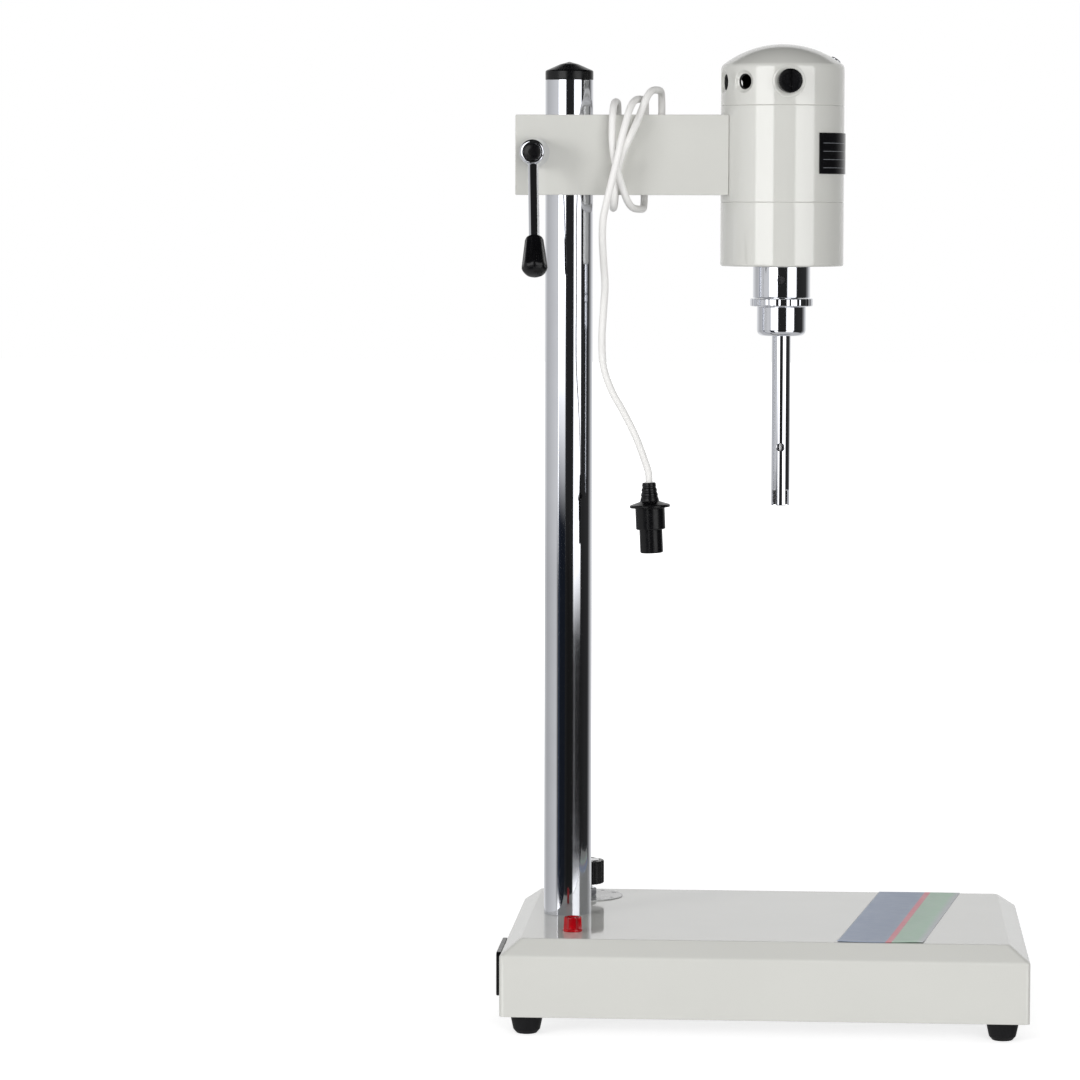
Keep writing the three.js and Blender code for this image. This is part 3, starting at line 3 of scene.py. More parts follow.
import bmesh
import bpy
import numpy as np
from bpy.props import FloatProperty, FloatVectorProperty, IntProperty, PointerProperty
from mathutils import Matrix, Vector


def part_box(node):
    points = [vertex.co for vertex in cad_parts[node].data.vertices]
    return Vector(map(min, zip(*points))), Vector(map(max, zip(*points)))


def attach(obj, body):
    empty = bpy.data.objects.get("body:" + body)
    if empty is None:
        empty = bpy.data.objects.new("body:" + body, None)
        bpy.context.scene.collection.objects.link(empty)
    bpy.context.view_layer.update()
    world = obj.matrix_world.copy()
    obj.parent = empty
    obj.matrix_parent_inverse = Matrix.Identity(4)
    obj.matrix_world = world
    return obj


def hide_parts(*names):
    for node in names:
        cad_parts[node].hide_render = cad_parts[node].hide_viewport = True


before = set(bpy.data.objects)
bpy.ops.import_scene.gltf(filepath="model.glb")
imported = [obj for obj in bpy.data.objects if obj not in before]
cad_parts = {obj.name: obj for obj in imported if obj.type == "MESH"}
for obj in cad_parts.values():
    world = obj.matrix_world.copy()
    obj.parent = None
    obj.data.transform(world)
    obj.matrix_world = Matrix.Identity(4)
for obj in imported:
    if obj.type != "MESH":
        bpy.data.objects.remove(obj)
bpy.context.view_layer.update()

bl_info = {
    "name": "Laboratory Homogenizer",
    "version": (1, 0, 0),
    "blender": (4, 5, 0),
    "location": "3D View > Sidebar > Homogenizer",
    "description": "Builds a bench homogenizer, piece by piece, round its packed model",
    "category": "Add Mesh",
}

MM = 0.001
UP, RIGHT, LEFT, NEAR, FAR = (0, 0, 1), (1, 0, 0), (-1, 0, 0), (0, -1, 0), (0, 1, 0)


def srgb(*levels):
    """Screen levels from 0 to 255 as linear light."""
    share = np.array(levels, float) / 255
    linear = np.where(share <= 0.04045, share / 12.92, ((share + 0.055) / 1.055) ** 2.4)
    return tuple(float(value) for value in linear)


def corners_of(node):
    """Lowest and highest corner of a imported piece, in millimetres."""
    low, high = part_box(node)
    return np.array(low) / MM, np.array(high) / MM


def middle_of(node):
    """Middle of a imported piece's box."""
    low, high = corners_of(node)
    return (low + high) / 2


def levels_of(node):
    """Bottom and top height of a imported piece."""
    low, high = corners_of(node)
    return low[2], high[2]


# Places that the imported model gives, in millimetres
DECK = levels_of("base_cover")[1]
COLUMN_LOW, COLUMN_HIGH = corners_of("column")
COLUMN_X = (COLUMN_LOW[0] + COLUMN_HIGH[0]) / 2
COLUMN_RADIUS = (COLUMN_HIGH[0] - COLUMN_LOW[0]) / 2
ARM_MIDDLE = middle_of("arm_casting")[2]
HEAD_LOW, HEAD_HIGH = corners_of("head_middle")
HEAD_RADIUS = (HEAD_HIGH[1] - HEAD_LOW[1]) / 2
HEAD_X = HEAD_HIGH[0] - HEAD_RADIUS
HEAD_BOTTOM, LOWER_TOP = levels_of("head_lower")
COVER_BOTTOM, HEAD_TOP = levels_of("head_cover")
KNOB_X, KNOB_Y, _ = middle_of("speed_knob")
HEAD_AXIS, COLUMN_AXIS, KNOB_AXIS = (HEAD_X, 0, 0), (COLUMN_X, 0, 0), (KNOB_X, KNOB_Y, 0)

# Turn of the head's plate, air holes and brushes from the machine's own line
HEAD_CLOCK = math.radians(6.5)
# How far the label's edges lean over its length
LABEL_SLANT = 30
# Step between faces that would else lie in one plane
TINY = 0.02


# Surfaces


def unit(vector):
    """The same direction at length one."""
    vector = np.asarray(vector, float)
    return vector / np.linalg.norm(vector)


def heading(angle):
    """Level direction at an angle from X."""
    return np.array([math.cos(angle), math.sin(angle), 0])


def circle(count):
    """Angles spaced evenly round a full turn."""
    return 2 * np.pi * np.arange(count) / count


def swept(radius, angles, height):
    """A point at each radius, angle and height round Z."""
    radius, angles, height = np.broadcast_arrays(radius, angles, height)
    return np.stack([radius * np.cos(angles), radius * np.sin(angles), height], -1)


def hermite(t, start, end, slope_in, slope_out):
    """The Hermite cubic: (2t^3 - 3t^2 + 1) start + (t^3 - 2t^2 + t) slope in + (3t^2 - 2t^3) end
    + (t^3 - t^2) slope out, for t from 0 to 1."""
    early = (2 * t**3 - 3 * t**2 + 1) * start + (t**3 - 2 * t**2 + t) * slope_in
    return early + (3 * t**2 - 2 * t**3) * end + (t**3 - t**2) * slope_out


def grid(points, close_rows=False):
    """Corners (i, j), (i, j+1), (i+1, j+1) and (i+1, j) of a grid make a face. Columns wrap round."""
    rows, columns = points.shape[:2]
    first_rows = np.arange(rows if close_rows else rows - 1)
    i, j = np.meshgrid(first_rows, np.arange(columns), indexing="ij")
    below, beside = (i + 1) % rows, (j + 1) % columns
    faces = [i * columns + j, i * columns + beside, below * columns + beside, below * columns + j]
    return points.reshape(-1, 3), np.stack(faces, -1).reshape(-1, 4).tolist()


def capped(rings):
    """Rings of points joined in order, with a face over the first ring and one over the last."""
    points, faces = grid(rings)
    count = rings.shape[1]
    return points, faces + [list(range(count)), list(range(len(points) - count, len(points)))]


def rounded(corners, closed=False, steps=5, near=0.4):
    """An outline of (radius, height, wave share) through corners (radius, height, rounding, wave share).
    An arc of the rounding touches both sides of its corner, and a near point beyond each end of the arc
    keeps the flats beside it flat when they are shaded."""
    corners = [tuple(corner) + (0,) * (4 - len(corner)) for corner in corners]
    count = len(corners)
    outline = []
    for i, (radius, height, rounding, wave) in enumerate(corners):
        here = np.array([radius, height], float)
        if rounding == 0 or (not closed and i in (0, count - 1)):
            outline.append((radius, height, wave))
            continue
        back = np.array(corners[i - 1][:2], float) - here
        ahead = np.array(corners[(i + 1) % count][:2], float) - here
        to_back, to_ahead = unit(back), unit(ahead)
        opening = math.acos(np.clip(to_back @ to_ahead, -1, 1))
        reach = rounding / math.tan(opening / 2)
        centre = here + unit(to_back + to_ahead) * rounding / math.sin(opening / 2)
        first, last = here + to_back * reach - centre, here + to_ahead * reach - centre
        turn = math.pi - opening
        share = np.linspace(0, 1, steps + 1)[:, None]
        arc = (np.sin((1 - share) * turn) * first + np.sin(share * turn) * last) / math.sin(turn)
        before, after = (
            here + way * (reach + min(near, 0.3 * (np.linalg.norm(side) - reach)))
            for way, side in ((to_back, back), (to_ahead, ahead))
        )
        outline += [(*point, wave) for point in [before, *(centre + arc), after]]
    return np.array(outline, float)


def revolve(outline, angles):
    """Outline points (radius, height) carried to the given angles round Z."""
    outline = np.asarray(outline, float)
    return swept(outline[:, :1], angles, outline[:, 1:2])


def turned(outline, sides, wave=None, closed=False):
    """Outline points carried round Z, with wave(angle) times their wave share added to the radius."""
    outline = np.asarray(outline, float)
    angles = circle(sides)
    extra = outline[:, 2:3] * wave(angles) if wave else 0
    return grid(swept(outline[:, :1] + extra, angles, outline[:, 1:2]), close_rows=closed)


def rod(radius, start, end, sides):
    """A plain cylinder round Z between two heights."""
    return turned([(0, start), (radius, start), (radius, end), (0, end)], sides)


def ribs(count, depth):
    """A wave that dips by depth between ribs: minus depth times (1 - cos(count times angle)) / 2."""
    return lambda angles: -depth * (1 - np.cos(count * angles)) / 2


def stacked(levels):
    """Flat outlines (x, y) laid at their heights and joined in order, closed by a face at each end."""
    return capped(np.array([
        np.column_stack([outline, np.full(len(outline), height)]) for outline, height in levels
    ], float))


def raised(outline, bottom, top):
    """A flat outline (x, y) carried straight up from bottom to top."""
    return stacked([(outline, bottom), (outline, top)])


def block(x0, x1, y0, y1, z0, z1):
    """A box between two corners."""
    return raised([(x0, y0), (x1, y0), (x1, y1), (x0, y1)], z0, z1)


def rectangle(half_x, half_y, corner, near=0.8):
    """A rectangle round the origin whose corners are quarter circles, with near points beside each."""
    arc = corner * swept(1, np.linspace(0, np.pi / 2, 7), 0)[:, :2]
    arc = np.concatenate([arc[:1] - (0, near), arc, arc[-1:] - (near, 0)])
    inner = np.array([half_x - corner, half_y - corner])
    sides = [(1, 1, 1), (-1, 1, -1), (-1, -1, 1), (1, -1, -1)]
    return np.concatenate([(inner + arc)[::order] * (x, y) for x, y, order in sides])


def placed(shell, origin, along=UP, aside=RIGHT):
    """Local Z turns to along, local X to the way square to it that is nearest aside, and 0 to origin."""
    z = unit(along)
    x = unit(np.asarray(aside, float) - z * z.dot(aside))
    points, faces = shell
    return np.asarray(origin, float) + points @ np.array([x, np.cross(z, x), z]), faces


def three_round(shell, reach=4):
    """The shell set three times round Z, at the reach from it."""
    points, faces = shell
    return [(points + reach * heading(angle), faces) for angle in circle(3)]


def tube(path, radius):
    """A circle of the radius carried square to the path, its first axis nearest X, closed at its ends."""
    along = np.gradient(path, axis=0)
    along /= np.linalg.norm(along, axis=1, keepdims=True)
    aside = np.array(RIGHT) - along * along[:, :1]
    aside /= np.linalg.norm(aside, axis=1, keepdims=True)
    across = np.cross(along, aside)
    angles = circle(20)[:, None]
    rings = path[:, None] + radius * (aside[:, None] * np.cos(angles) + across[:, None] * np.sin(angles))
    ends = [np.repeat(path[end][None, None], len(angles), 1) for end in (0, -1)]
    return grid(np.concatenate([ends[0], rings, ends[1]]))


def curve_through(points):
    """A centripetal Catmull-Rom curve: each span is a Hermite cubic whose end slopes come from the chords
    round it, with the square root of each chord as its parameter length."""
    points = np.asarray(points, float)
    full = np.concatenate([[2 * points[0] - points[1]], points, [2 * points[-1] - points[-2]]])
    chords = np.sqrt(np.linalg.norm(np.diff(full, axis=0), axis=1))[:, None]
    before, here, after = chords[:-2], chords[1:-1], chords[2:]
    a, b, c, d = full[:-3], full[1:-2], full[2:-1], full[3:]
    slope_in = ((b - a) / before - (c - a) / (before + here) + (c - b) / here) * here
    slope_out = ((c - b) / here - (d - b) / (here + after) + (d - c) / after) * here
    spacing = 1.5
    steps = max(2, int(np.linalg.norm(c - b, axis=1).max() / spacing))
    t = (np.arange(steps) / steps)[None, :, None]
    spans = hermite(t, *(value[:, None] for value in (b, c, slope_in, slope_out)))
    return np.concatenate([spans.reshape(-1, 3), points[-1:]])


# Pieces


def tidy_mesh(mesh, sharp):
    """Points that meet become one, faces turn outwards, and edges sharper than the angle stay sharp."""
    form = bmesh.new()
    form.from_mesh(mesh)
    bmesh.ops.remove_doubles(form, verts=form.verts, dist=2e-6)
    bmesh.ops.dissolve_degenerate(form, edges=form.edges, dist=1e-7)
    bmesh.ops.recalc_face_normals(form, faces=form.faces)
    form.to_mesh(mesh)
    form.free()
    mesh.shade_smooth()
    mesh.set_sharp_from_angle(angle=math.radians(sharp))


def formed(name, shells, sharp=32):
    """One object from closed shells in millimetres, with its place in its mesh."""
    shells = shells if isinstance(shells, list) else [shells]
    mesh = bpy.data.meshes.new(name)
    starts = np.cumsum([0] + [len(points) for points, _ in shells])
    faces = [
        [corner + int(start) for corner in face]
        for (_, shell_faces), start in zip(shells, starts)
        for face in shell_faces
    ]
    points = np.concatenate([points for points, _ in shells]) * MM
    mesh.from_pydata(points.tolist(), [], faces)
    tidy_mesh(mesh, sharp)
    piece = bpy.data.objects.new(name, mesh)
    bpy.context.scene.collection.objects.link(piece)
    return piece


def lathed(
    name, corners, sides, origin, along=UP, aside=RIGHT, closed=False, wave=None, sharp=32, steps=5,
):
    """A piece turned from rounded corners (radius, height), with its axis laid along a direction."""
    shell = turned(rounded(corners, closed, steps), sides, wave, closed)
    return formed(name, placed(shell, origin, along, aside), sharp)


def finished(piece, material, body, slot, *nodes):
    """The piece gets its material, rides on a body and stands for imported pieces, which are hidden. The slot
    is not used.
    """
    piece.data.materials.clear()
    piece.data.materials.append(bpy.data.materials[material])
    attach(piece, body)
    if nodes:
        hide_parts(*nodes)
    return piece


def pierced(piece, cutters, sharp=32):
    """The piece less the closed shells of the cutters, worked out once."""
    cutter = formed(piece.name + "_cutter", cutters)
    modifier = piece.modifiers.new("Cut", "BOOLEAN")
    modifier.operation = "DIFFERENCE"
    modifier.solver = "EXACT"
    modifier.use_self = True
    modifier.object = cutter
    piece.data = mesh_of(piece)
    piece.modifiers.clear()
    bpy.data.objects.remove(cutter)
    if not piece.data.polygons:
        raise RuntimeError(f"{piece.name}: nothing is left after the cut")
    tidy_mesh(piece.data, sharp)
    return piece


def mesh_of(piece):
    """The mesh that an object shows, with its modifiers worked out."""
    bpy.context.view_layer.update()
    return bpy.data.meshes.new_from_object(piece.evaluated_get(bpy.context.evaluated_depsgraph_get()))


def softened(piece, width, segments=3):
    """Edges get a round of the width, in millimetres, and flats keep their flat shading."""
    bevel = piece.modifiers.new("Edges", "BEVEL")
    bevel.width = width * MM
    bevel.segments = segments
    bevel.limit_method = "ANGLE"
    bevel.angle_limit = math.radians(35)
    bevel.miter_outer = "MITER_ARC"
    weighted = piece.modifiers.new("Flats", "WEIGHTED_NORMAL")
    weighted.keep_sharp = True
    return piece


# Finishes


class Nodes:
    """Adds nodes to one tree and joins their sockets."""

    def __init__(self, owner):
        owner.use_nodes = True
        self.tree = owner.node_tree
        self.tree.nodes.clear()

    def add(self, kind, inputs=None, **settings):
        node = self.tree.nodes.new(kind)
        for key, value in settings.items():
            setattr(node, key, value)
        for key, value in (inputs or {}).items():
            if isinstance(value, bpy.types.NodeSocket):
                self.tree.links.new(value, node.inputs[key])
            else:
                node.inputs[key].default_value = value
        return node

    def show(self, shader, output="ShaderNodeOutputMaterial"):
        self.add(output, {"Surface": shader.outputs[0]})

    def place(self):
        return self.add("ShaderNodeTexCoord").outputs["Object"]

    def axes(self, place, origin=None):
        """x, y and z, from an origin in millimetres where one is given."""
        if origin:
            inputs = {0: place, 1: [-value * MM for value in origin]}
            place = self.add("ShaderNodeVectorMath", inputs, operation="ADD").outputs["Vector"]
        return self.add("ShaderNodeSeparateXYZ", {"Vector": place}).outputs

    def math(self, operation, *values):
        return self.add("ShaderNodeMath", dict(enumerate(values)), operation=operation).outputs[0]

    def plus(self, first, second):
        return self.math("ADD", first, second)

    def minus(self, first, second):
        return self.math("SUBTRACT", first, second)

    def times(self, first, second):
        return self.math("MULTIPLY", first, second)

    def near(self, value, middle, half):
        """1 where the value lies within half of the middle."""
        return self.math("LESS_THAN", self.math("ABSOLUTE", self.minus(value, middle)), half)

    def lines(self, value, half_step, half_width):
        """1 on lines that come back each two half steps."""
        return self.math("LESS_THAN", self.math("PINGPONG", value, half_step), half_width)

    def noise(self, place, scale, detail=3.0, roughness=0.5):
        inputs = {"Vector": place, "Scale": scale, "Detail": detail, "Roughness": roughness}
        return self.add("ShaderNodeTexNoise", inputs).outputs["Fac"]

    def ramp(self, factor, stops):
        node = self.add("ShaderNodeValToRGB", {"Fac": factor})
        elements = node.color_ramp.elements
        while len(elements) < len(stops):
            elements.new(0.5)
        for element, (position, colour) in zip(elements, stops):
            element.position = position
            element.color = (*colour, 1)
        return node.outputs["Color"]

    def mixed(self, factor, first, second):
        first, second = (
            value if isinstance(value, bpy.types.NodeSocket) else (*value, 1) for value in (first, second)
        )
        inputs = {0: factor, 6: first, 7: second}
        return self.add("ShaderNodeMix", inputs, data_type="RGBA").outputs[2]

    def spread(self, value, low, high, start=0.3, end=0.7):
        inputs = {"Value": value, "From Min": start, "From Max": end, "To Min": low, "To Max": high}
        return self.add("ShaderNodeMapRange", inputs).outputs["Result"]


def finish(
    name, colour, roughness, metallic=0.0, mottle=0.04, mottle_size=0.03, grain=0.001,
    grain_depth=0.00001, rough_spread=0.05, pattern=None, **sockets,
):
    """A colour mottled by a soft noise, a roughness spread by a second noise and a fine grain as bump.
    Sizes are in metres. pattern(nodes, place, colour) may lay a print over the colour."""
    nodes = Nodes(bpy.data.materials.new(name))
    place = nodes.place()
    soft = nodes.noise(place, 1 / mottle_size)
    smear = nodes.noise(place, 2.7 / mottle_size, 5.0, 0.6)
    fine = nodes.noise(place, 1 / grain, 2.0)
    dark = tuple(level * (1 - mottle) for level in colour)
    light = tuple(min(1, level * (1 + mottle)) for level in colour)
    tone = nodes.mixed(nodes.spread(soft, 0, 1), dark, light)
    if pattern:
        tone = pattern(nodes, place, tone)
    bump = nodes.add("ShaderNodeBump", {"Height": fine, "Distance": grain_depth, "Strength": 1.0})
    least = max(0.02, roughness - rough_spread)
    nodes.show(nodes.add("ShaderNodeBsdfPrincipled", {
        "Base Color": tone,
        "Metallic": metallic,
        "Roughness": nodes.spread(smear, least, roughness + rough_spread),
        "Normal": bump.outputs["Normal"],
        **{key.replace("_", " "): value for key, value in sockets.items()},
    }))


def label_bands(nodes, place, colour):
    """Three slanted bands with a pale line between, by distance square to the label's own left edge."""
    low, high = corners_of("front_label")
    width = 56
    lean = LABEL_SLANT / (high[1] - low[1])
    inputs = {0: place, 1: (1 / (width * MM), -lean / (width * MM), 0)}
    across = nodes.add("ShaderNodeVectorMath", inputs, operation="DOT_PRODUCT").outputs["Value"]
    across = nodes.minus(across, (low[0] - lean * low[1]) / width)
    colours = bpy.context.scene.homogenizer_colours
    blue, red, green = (tuple(band) for band in (colours.blue_band, colours.red_band, colours.green_band))
    pale = srgb(206, 210, 214)
    bands = nodes.ramp(across, [
        (0.0, pale),
        (0.02, blue),
        (0.5, tuple(value * 0.93 for value in blue)),
        (0.56, blue),
        (0.575, red),
        (0.63, red),
        (0.645, green),
        (0.9, tuple(min(1, value * 1.08) for value in green)),
        (0.985, pale),
    ])
    streaks = nodes.add("ShaderNodeMapping", {"Vector": place, "Scale": (90, 700, 1)}).outputs["Vector"]
    weave = nodes.spread(nodes.noise(streaks, 1.0, 2.0), 0.0, 0.22)
    return nodes.mixed(weave, bands, pale)


def dial_scale(nodes, place, colour):
    """Ticks by angle, eleven over 300 degrees and five times as many short ones, inside two ring lines."""
    x, y, _ = nodes.axes(place, KNOB_AXIS)
    radius = nodes.math("SQRT", nodes.plus(nodes.math("POWER", x, 2.0), nodes.math("POWER", y, 2.0)))
    turn = nodes.math("FLOORED_MODULO", nodes.math("DEGREES", nodes.math("ARCTAN2", y, x)), 360.0)
    first, last, inner_ring, outer_ring = 29.0, 331.0, 15.0, 24.9
    in_range = nodes.times(nodes.math("GREATER_THAN", turn, first), nodes.math("LESS_THAN", turn, last))

    def ticks(step, width, inner, outer):
        away = nodes.math("RADIANS", nodes.math("PINGPONG", turn, step / 2))
        thin = nodes.math("LESS_THAN", nodes.times(away, radius), width * MM / 2)
        reach = nodes.near(radius, (inner + outer) / 2 * MM, (outer - inner) / 2 * MM)
        return nodes.times(nodes.times(thin, reach), in_range)

    marks = nodes.math("MAXIMUM", ticks(30, 0.5, 15.2, 18.4), ticks(6, 0.25, 15.2, 16.8))
    inner_line = nodes.times(nodes.near(radius, inner_ring * MM, 0.12 * MM), in_range)
    outer_line = nodes.near(radius, outer_ring * MM, 0.14 * MM)
    ink = nodes.math("MAXIMUM", nodes.math("MAXIMUM", marks, inner_line), outer_line)
    return nodes.mixed(ink, colour, srgb(60, 62, 66))


def plate_lines(nodes, place, colour):
    """Ruled lines on the black plate, by height and by angle round the head."""
    bottom, top = levels_of("rating_plate")
    half_angle, margin, half_step = math.radians(60), 3.0, 2.7
    x, y, height = nodes.axes(place, (HEAD_X, 0, bottom))
    around = nodes.math("ABSOLUTE", nodes.minus(nodes.math("ARCTAN2", y, x), HEAD_CLOCK))
    from_end = nodes.times(nodes.minus(half_angle, around), HEAD_RADIUS * MM)
    from_edge = nodes.math("PINGPONG", height, (top - bottom) * MM / 2)
    inside = nodes.math("GREATER_THAN", nodes.math("MINIMUM", from_edge, from_end), margin * MM)
    rows = nodes.lines(nodes.plus(height, half_step / 2 * MM), half_step * MM, 0.22 * MM)
    return nodes.mixed(nodes.times(rows, inside), colour, srgb(110, 112, 116))


def laminated(nodes, place, colour):
    """Thin dark lines every 0.7 mm of height, as between stamped sheets."""
    return nodes.mixed(nodes.lines(nodes.axes(place)[2], 0.35 * MM, 0.07 * MM), colour, srgb(40, 36, 34))


def board_tracks(nodes, place, colour):
    """Paler tracks where a cell pattern's edges run."""
    inputs = {"Vector": place, "Scale": 160.0}
    cells = nodes.add("ShaderNodeTexVoronoi", inputs, feature="DISTANCE_TO_EDGE")
    track = nodes.math("LESS_THAN", cells.outputs["Distance"], 0.07)
    return nodes.mixed(track, colour, srgb(92, 140, 86))


# Sizes and colours that the user may change


def tint(name, description, *levels):
    """A colour, given as screen levels."""
    return FloatVectorProperty(
        name=name, description=description, default=srgb(*levels), size=3, min=0, max=1, subtype="COLOR",
    )


def size(name, description, default, low, high):
    """A length in metres."""
    return FloatProperty(
        name=name, description=description, default=default, min=low, max=high, unit="LENGTH", precision=4,
    )


def power(name, description, default, low, high):
    """A strength of light."""
    return FloatProperty(name=name, description=description, default=default, min=low, max=high)


class HomogenizerColours(bpy.types.PropertyGroup):
    """Colours of the finishes"""

    sheet: tint("Sheet Paint", "Paint of the folded base", 216, 216, 211)
    casting: tint("Casting Paint", "Paint of the arm and the motor head", 211, 211, 206)
    cord: tint("Cord", "Skin of the motor lead", 238, 237, 235)
    lens: tint("Lens", "Plastic of the lamp", 168, 6, 18)
    blue_band: tint("Blue Band", "Widest band of the front label", 160, 174, 200)
    red_band: tint("Red Band", "Narrow band of the front label", 236, 140, 152)
    green_band: tint("Green Band", "Front band of the front label", 180, 210, 189)
    dial: tint("Dial", "Film of the speed dial", 168, 169, 168)


class HomogenizerSizes(bpy.types.PropertyGroup):
    """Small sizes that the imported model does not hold"""

    casting_edge: size("Casting Edge", "Round on the arm's edges", 0.001, 0.0002, 0.003)
    fold_radius: size("Fold Radius", "Round on the base's folds", 0.0025, 0.0005, 0.006)
    seam_edge: size("Seam Edge", "Round on the rims where housings meet", 0.0005, 0.0001, 0.001)
    dial_digits: size("Dial Digits", "Height of the numbers on the dial", 0.0034, 0.002, 0.005)
    cap_knurl: size("Cap Knurl", "Depth of the knurl on the brush caps", 0.00022, 0.0, 0.0006)
    cap_ridges: IntProperty(
        name="Cap Ridges", description="Ridges round a brush cap", default=40, min=12, max=72,
    )


class HomogenizerStudio(bpy.types.PropertyGroup):
    """Light of the studio"""

    sky: power("Sky", "Plain light from all round", 0.39, 0, 2)
    front: power("Front Light", "Power of the lamp by the camera", 88, 0, 500)
    side: power("Side Light", "Power of the lamp at the left", 38, 0, 500)
    softbox: power("Softbox", "Brightness of the softboxes in gloss", 2.5, 0.1, 20)


# Operators


class HOMOGENIZER_OT_finishes(bpy.types.Operator):
    """Make every finish of the machine"""

    bl_idname = "homogenizer.finishes"
    bl_label = "Finishes"

    def execute(self, context):
        colours = context.scene.homogenizer_colours
        painted = dict(
            mottle=0.012, rough_spread=0.02, Specular_IOR_Level=0.2, Coat_Roughness=0.05,
        )
        finish("Sheet paint", tuple(colours.sheet), 0.4, mottle_size=0.08, grain=0.0016,
               grain_depth=0.000005, Coat_Weight=0.9, **painted)
        finish("Casting paint", tuple(colours.casting), 0.45, mottle_size=0.05, grain=0.0012,
               grain_depth=0.000007, Coat_Weight=1.0, Coat_IOR=1.85, **painted)
        finish("Chrome", (0.78, 0.795, 0.84), 0.06, 1.0, mottle=0.02, mottle_size=0.02, grain=0.006,
               grain_depth=0.0000004, rough_spread=0.01)
        finish("Turned steel", (0.52, 0.52, 0.53), 0.27, 1.0, mottle=0.08, grain=0.0006,
               grain_depth=0.000004, rough_spread=0.08)
        finish("Brushed cap", (0.66, 0.66, 0.67), 0.22, 1.0, mottle=0.06, grain=0.0005,
               grain_depth=0.000003, rough_spread=0.06)
        finish("Black plastic", srgb(10, 10, 12), 0.26, mottle=0.18, mottle_size=0.012, grain=0.0005,
               rough_spread=0.06, Specular_IOR_Level=0.32)
        finish("Rubber", srgb(17, 17, 19), 0.6, mottle=0.2, mottle_size=0.01, grain=0.0004,
               grain_depth=0.00002, Specular_IOR_Level=0.25)
        finish("Cord skin", tuple(colours.cord), 0.5, mottle=0.02, mottle_size=0.018, grain=0.002,
               grain_depth=0.000001, Specular_IOR_Level=0.2)
        finish("Red lens", tuple(colours.lens), 0.1, mottle=0.3, mottle_size=0.005, grain=0.002,
               grain_depth=0.000003, rough_spread=0.02, Specular_IOR_Level=0.6)
        finish("Blackened steel", (0.09, 0.09, 0.095), 0.4, 1.0, mottle=0.2, mottle_size=0.008,
               grain=0.0008)
        finish("Laminations", srgb(120, 112, 104), 0.4, 0.8, pattern=laminated, mottle=0.1)
        finish("Nylon", srgb(228, 224, 212), 0.45, mottle=0.05)
        finish("Carbon", srgb(44, 44, 46), 0.6, mottle=0.25, mottle_size=0.003, grain_depth=0.00002)
        finish("Circuit board", srgb(47, 107, 60), 0.4, pattern=board_tracks)
        finish("Label film", srgb(200, 204, 206), 0.35, pattern=label_bands, mottle=0.03,
               mottle_size=0.02, grain_depth=0.000004, Specular_IOR_Level=0.1)
        finish("Dial film", tuple(colours.dial), 0.25, 0.2, pattern=dial_scale, Coat_Weight=0.4,
               Coat_Roughness=0.06)
        finish("Dial ink", srgb(52, 54, 58), 0.4, mottle=0.1, mottle_size=0.002)
        finish("Plate film", srgb(14, 14, 16), 0.16, pattern=plate_lines, mottle=0.2, mottle_size=0.01,
               grain_depth=0.000004)
        # Painted shade: a dark colour for the inside of the head cover, standing for the shade in its air
        # holes
        finish("Inner coat", srgb(38, 38, 38), 0.7, mottle=0.2, mottle_size=0.006, grain_depth=0.00002)
        finish("Zinc", (0.50, 0.50, 0.50), 0.42, 0.9, mottle=0.16, mottle_size=0.012, grain=0.002,
               rough_spread=0.1)
        return {"FINISHED"}


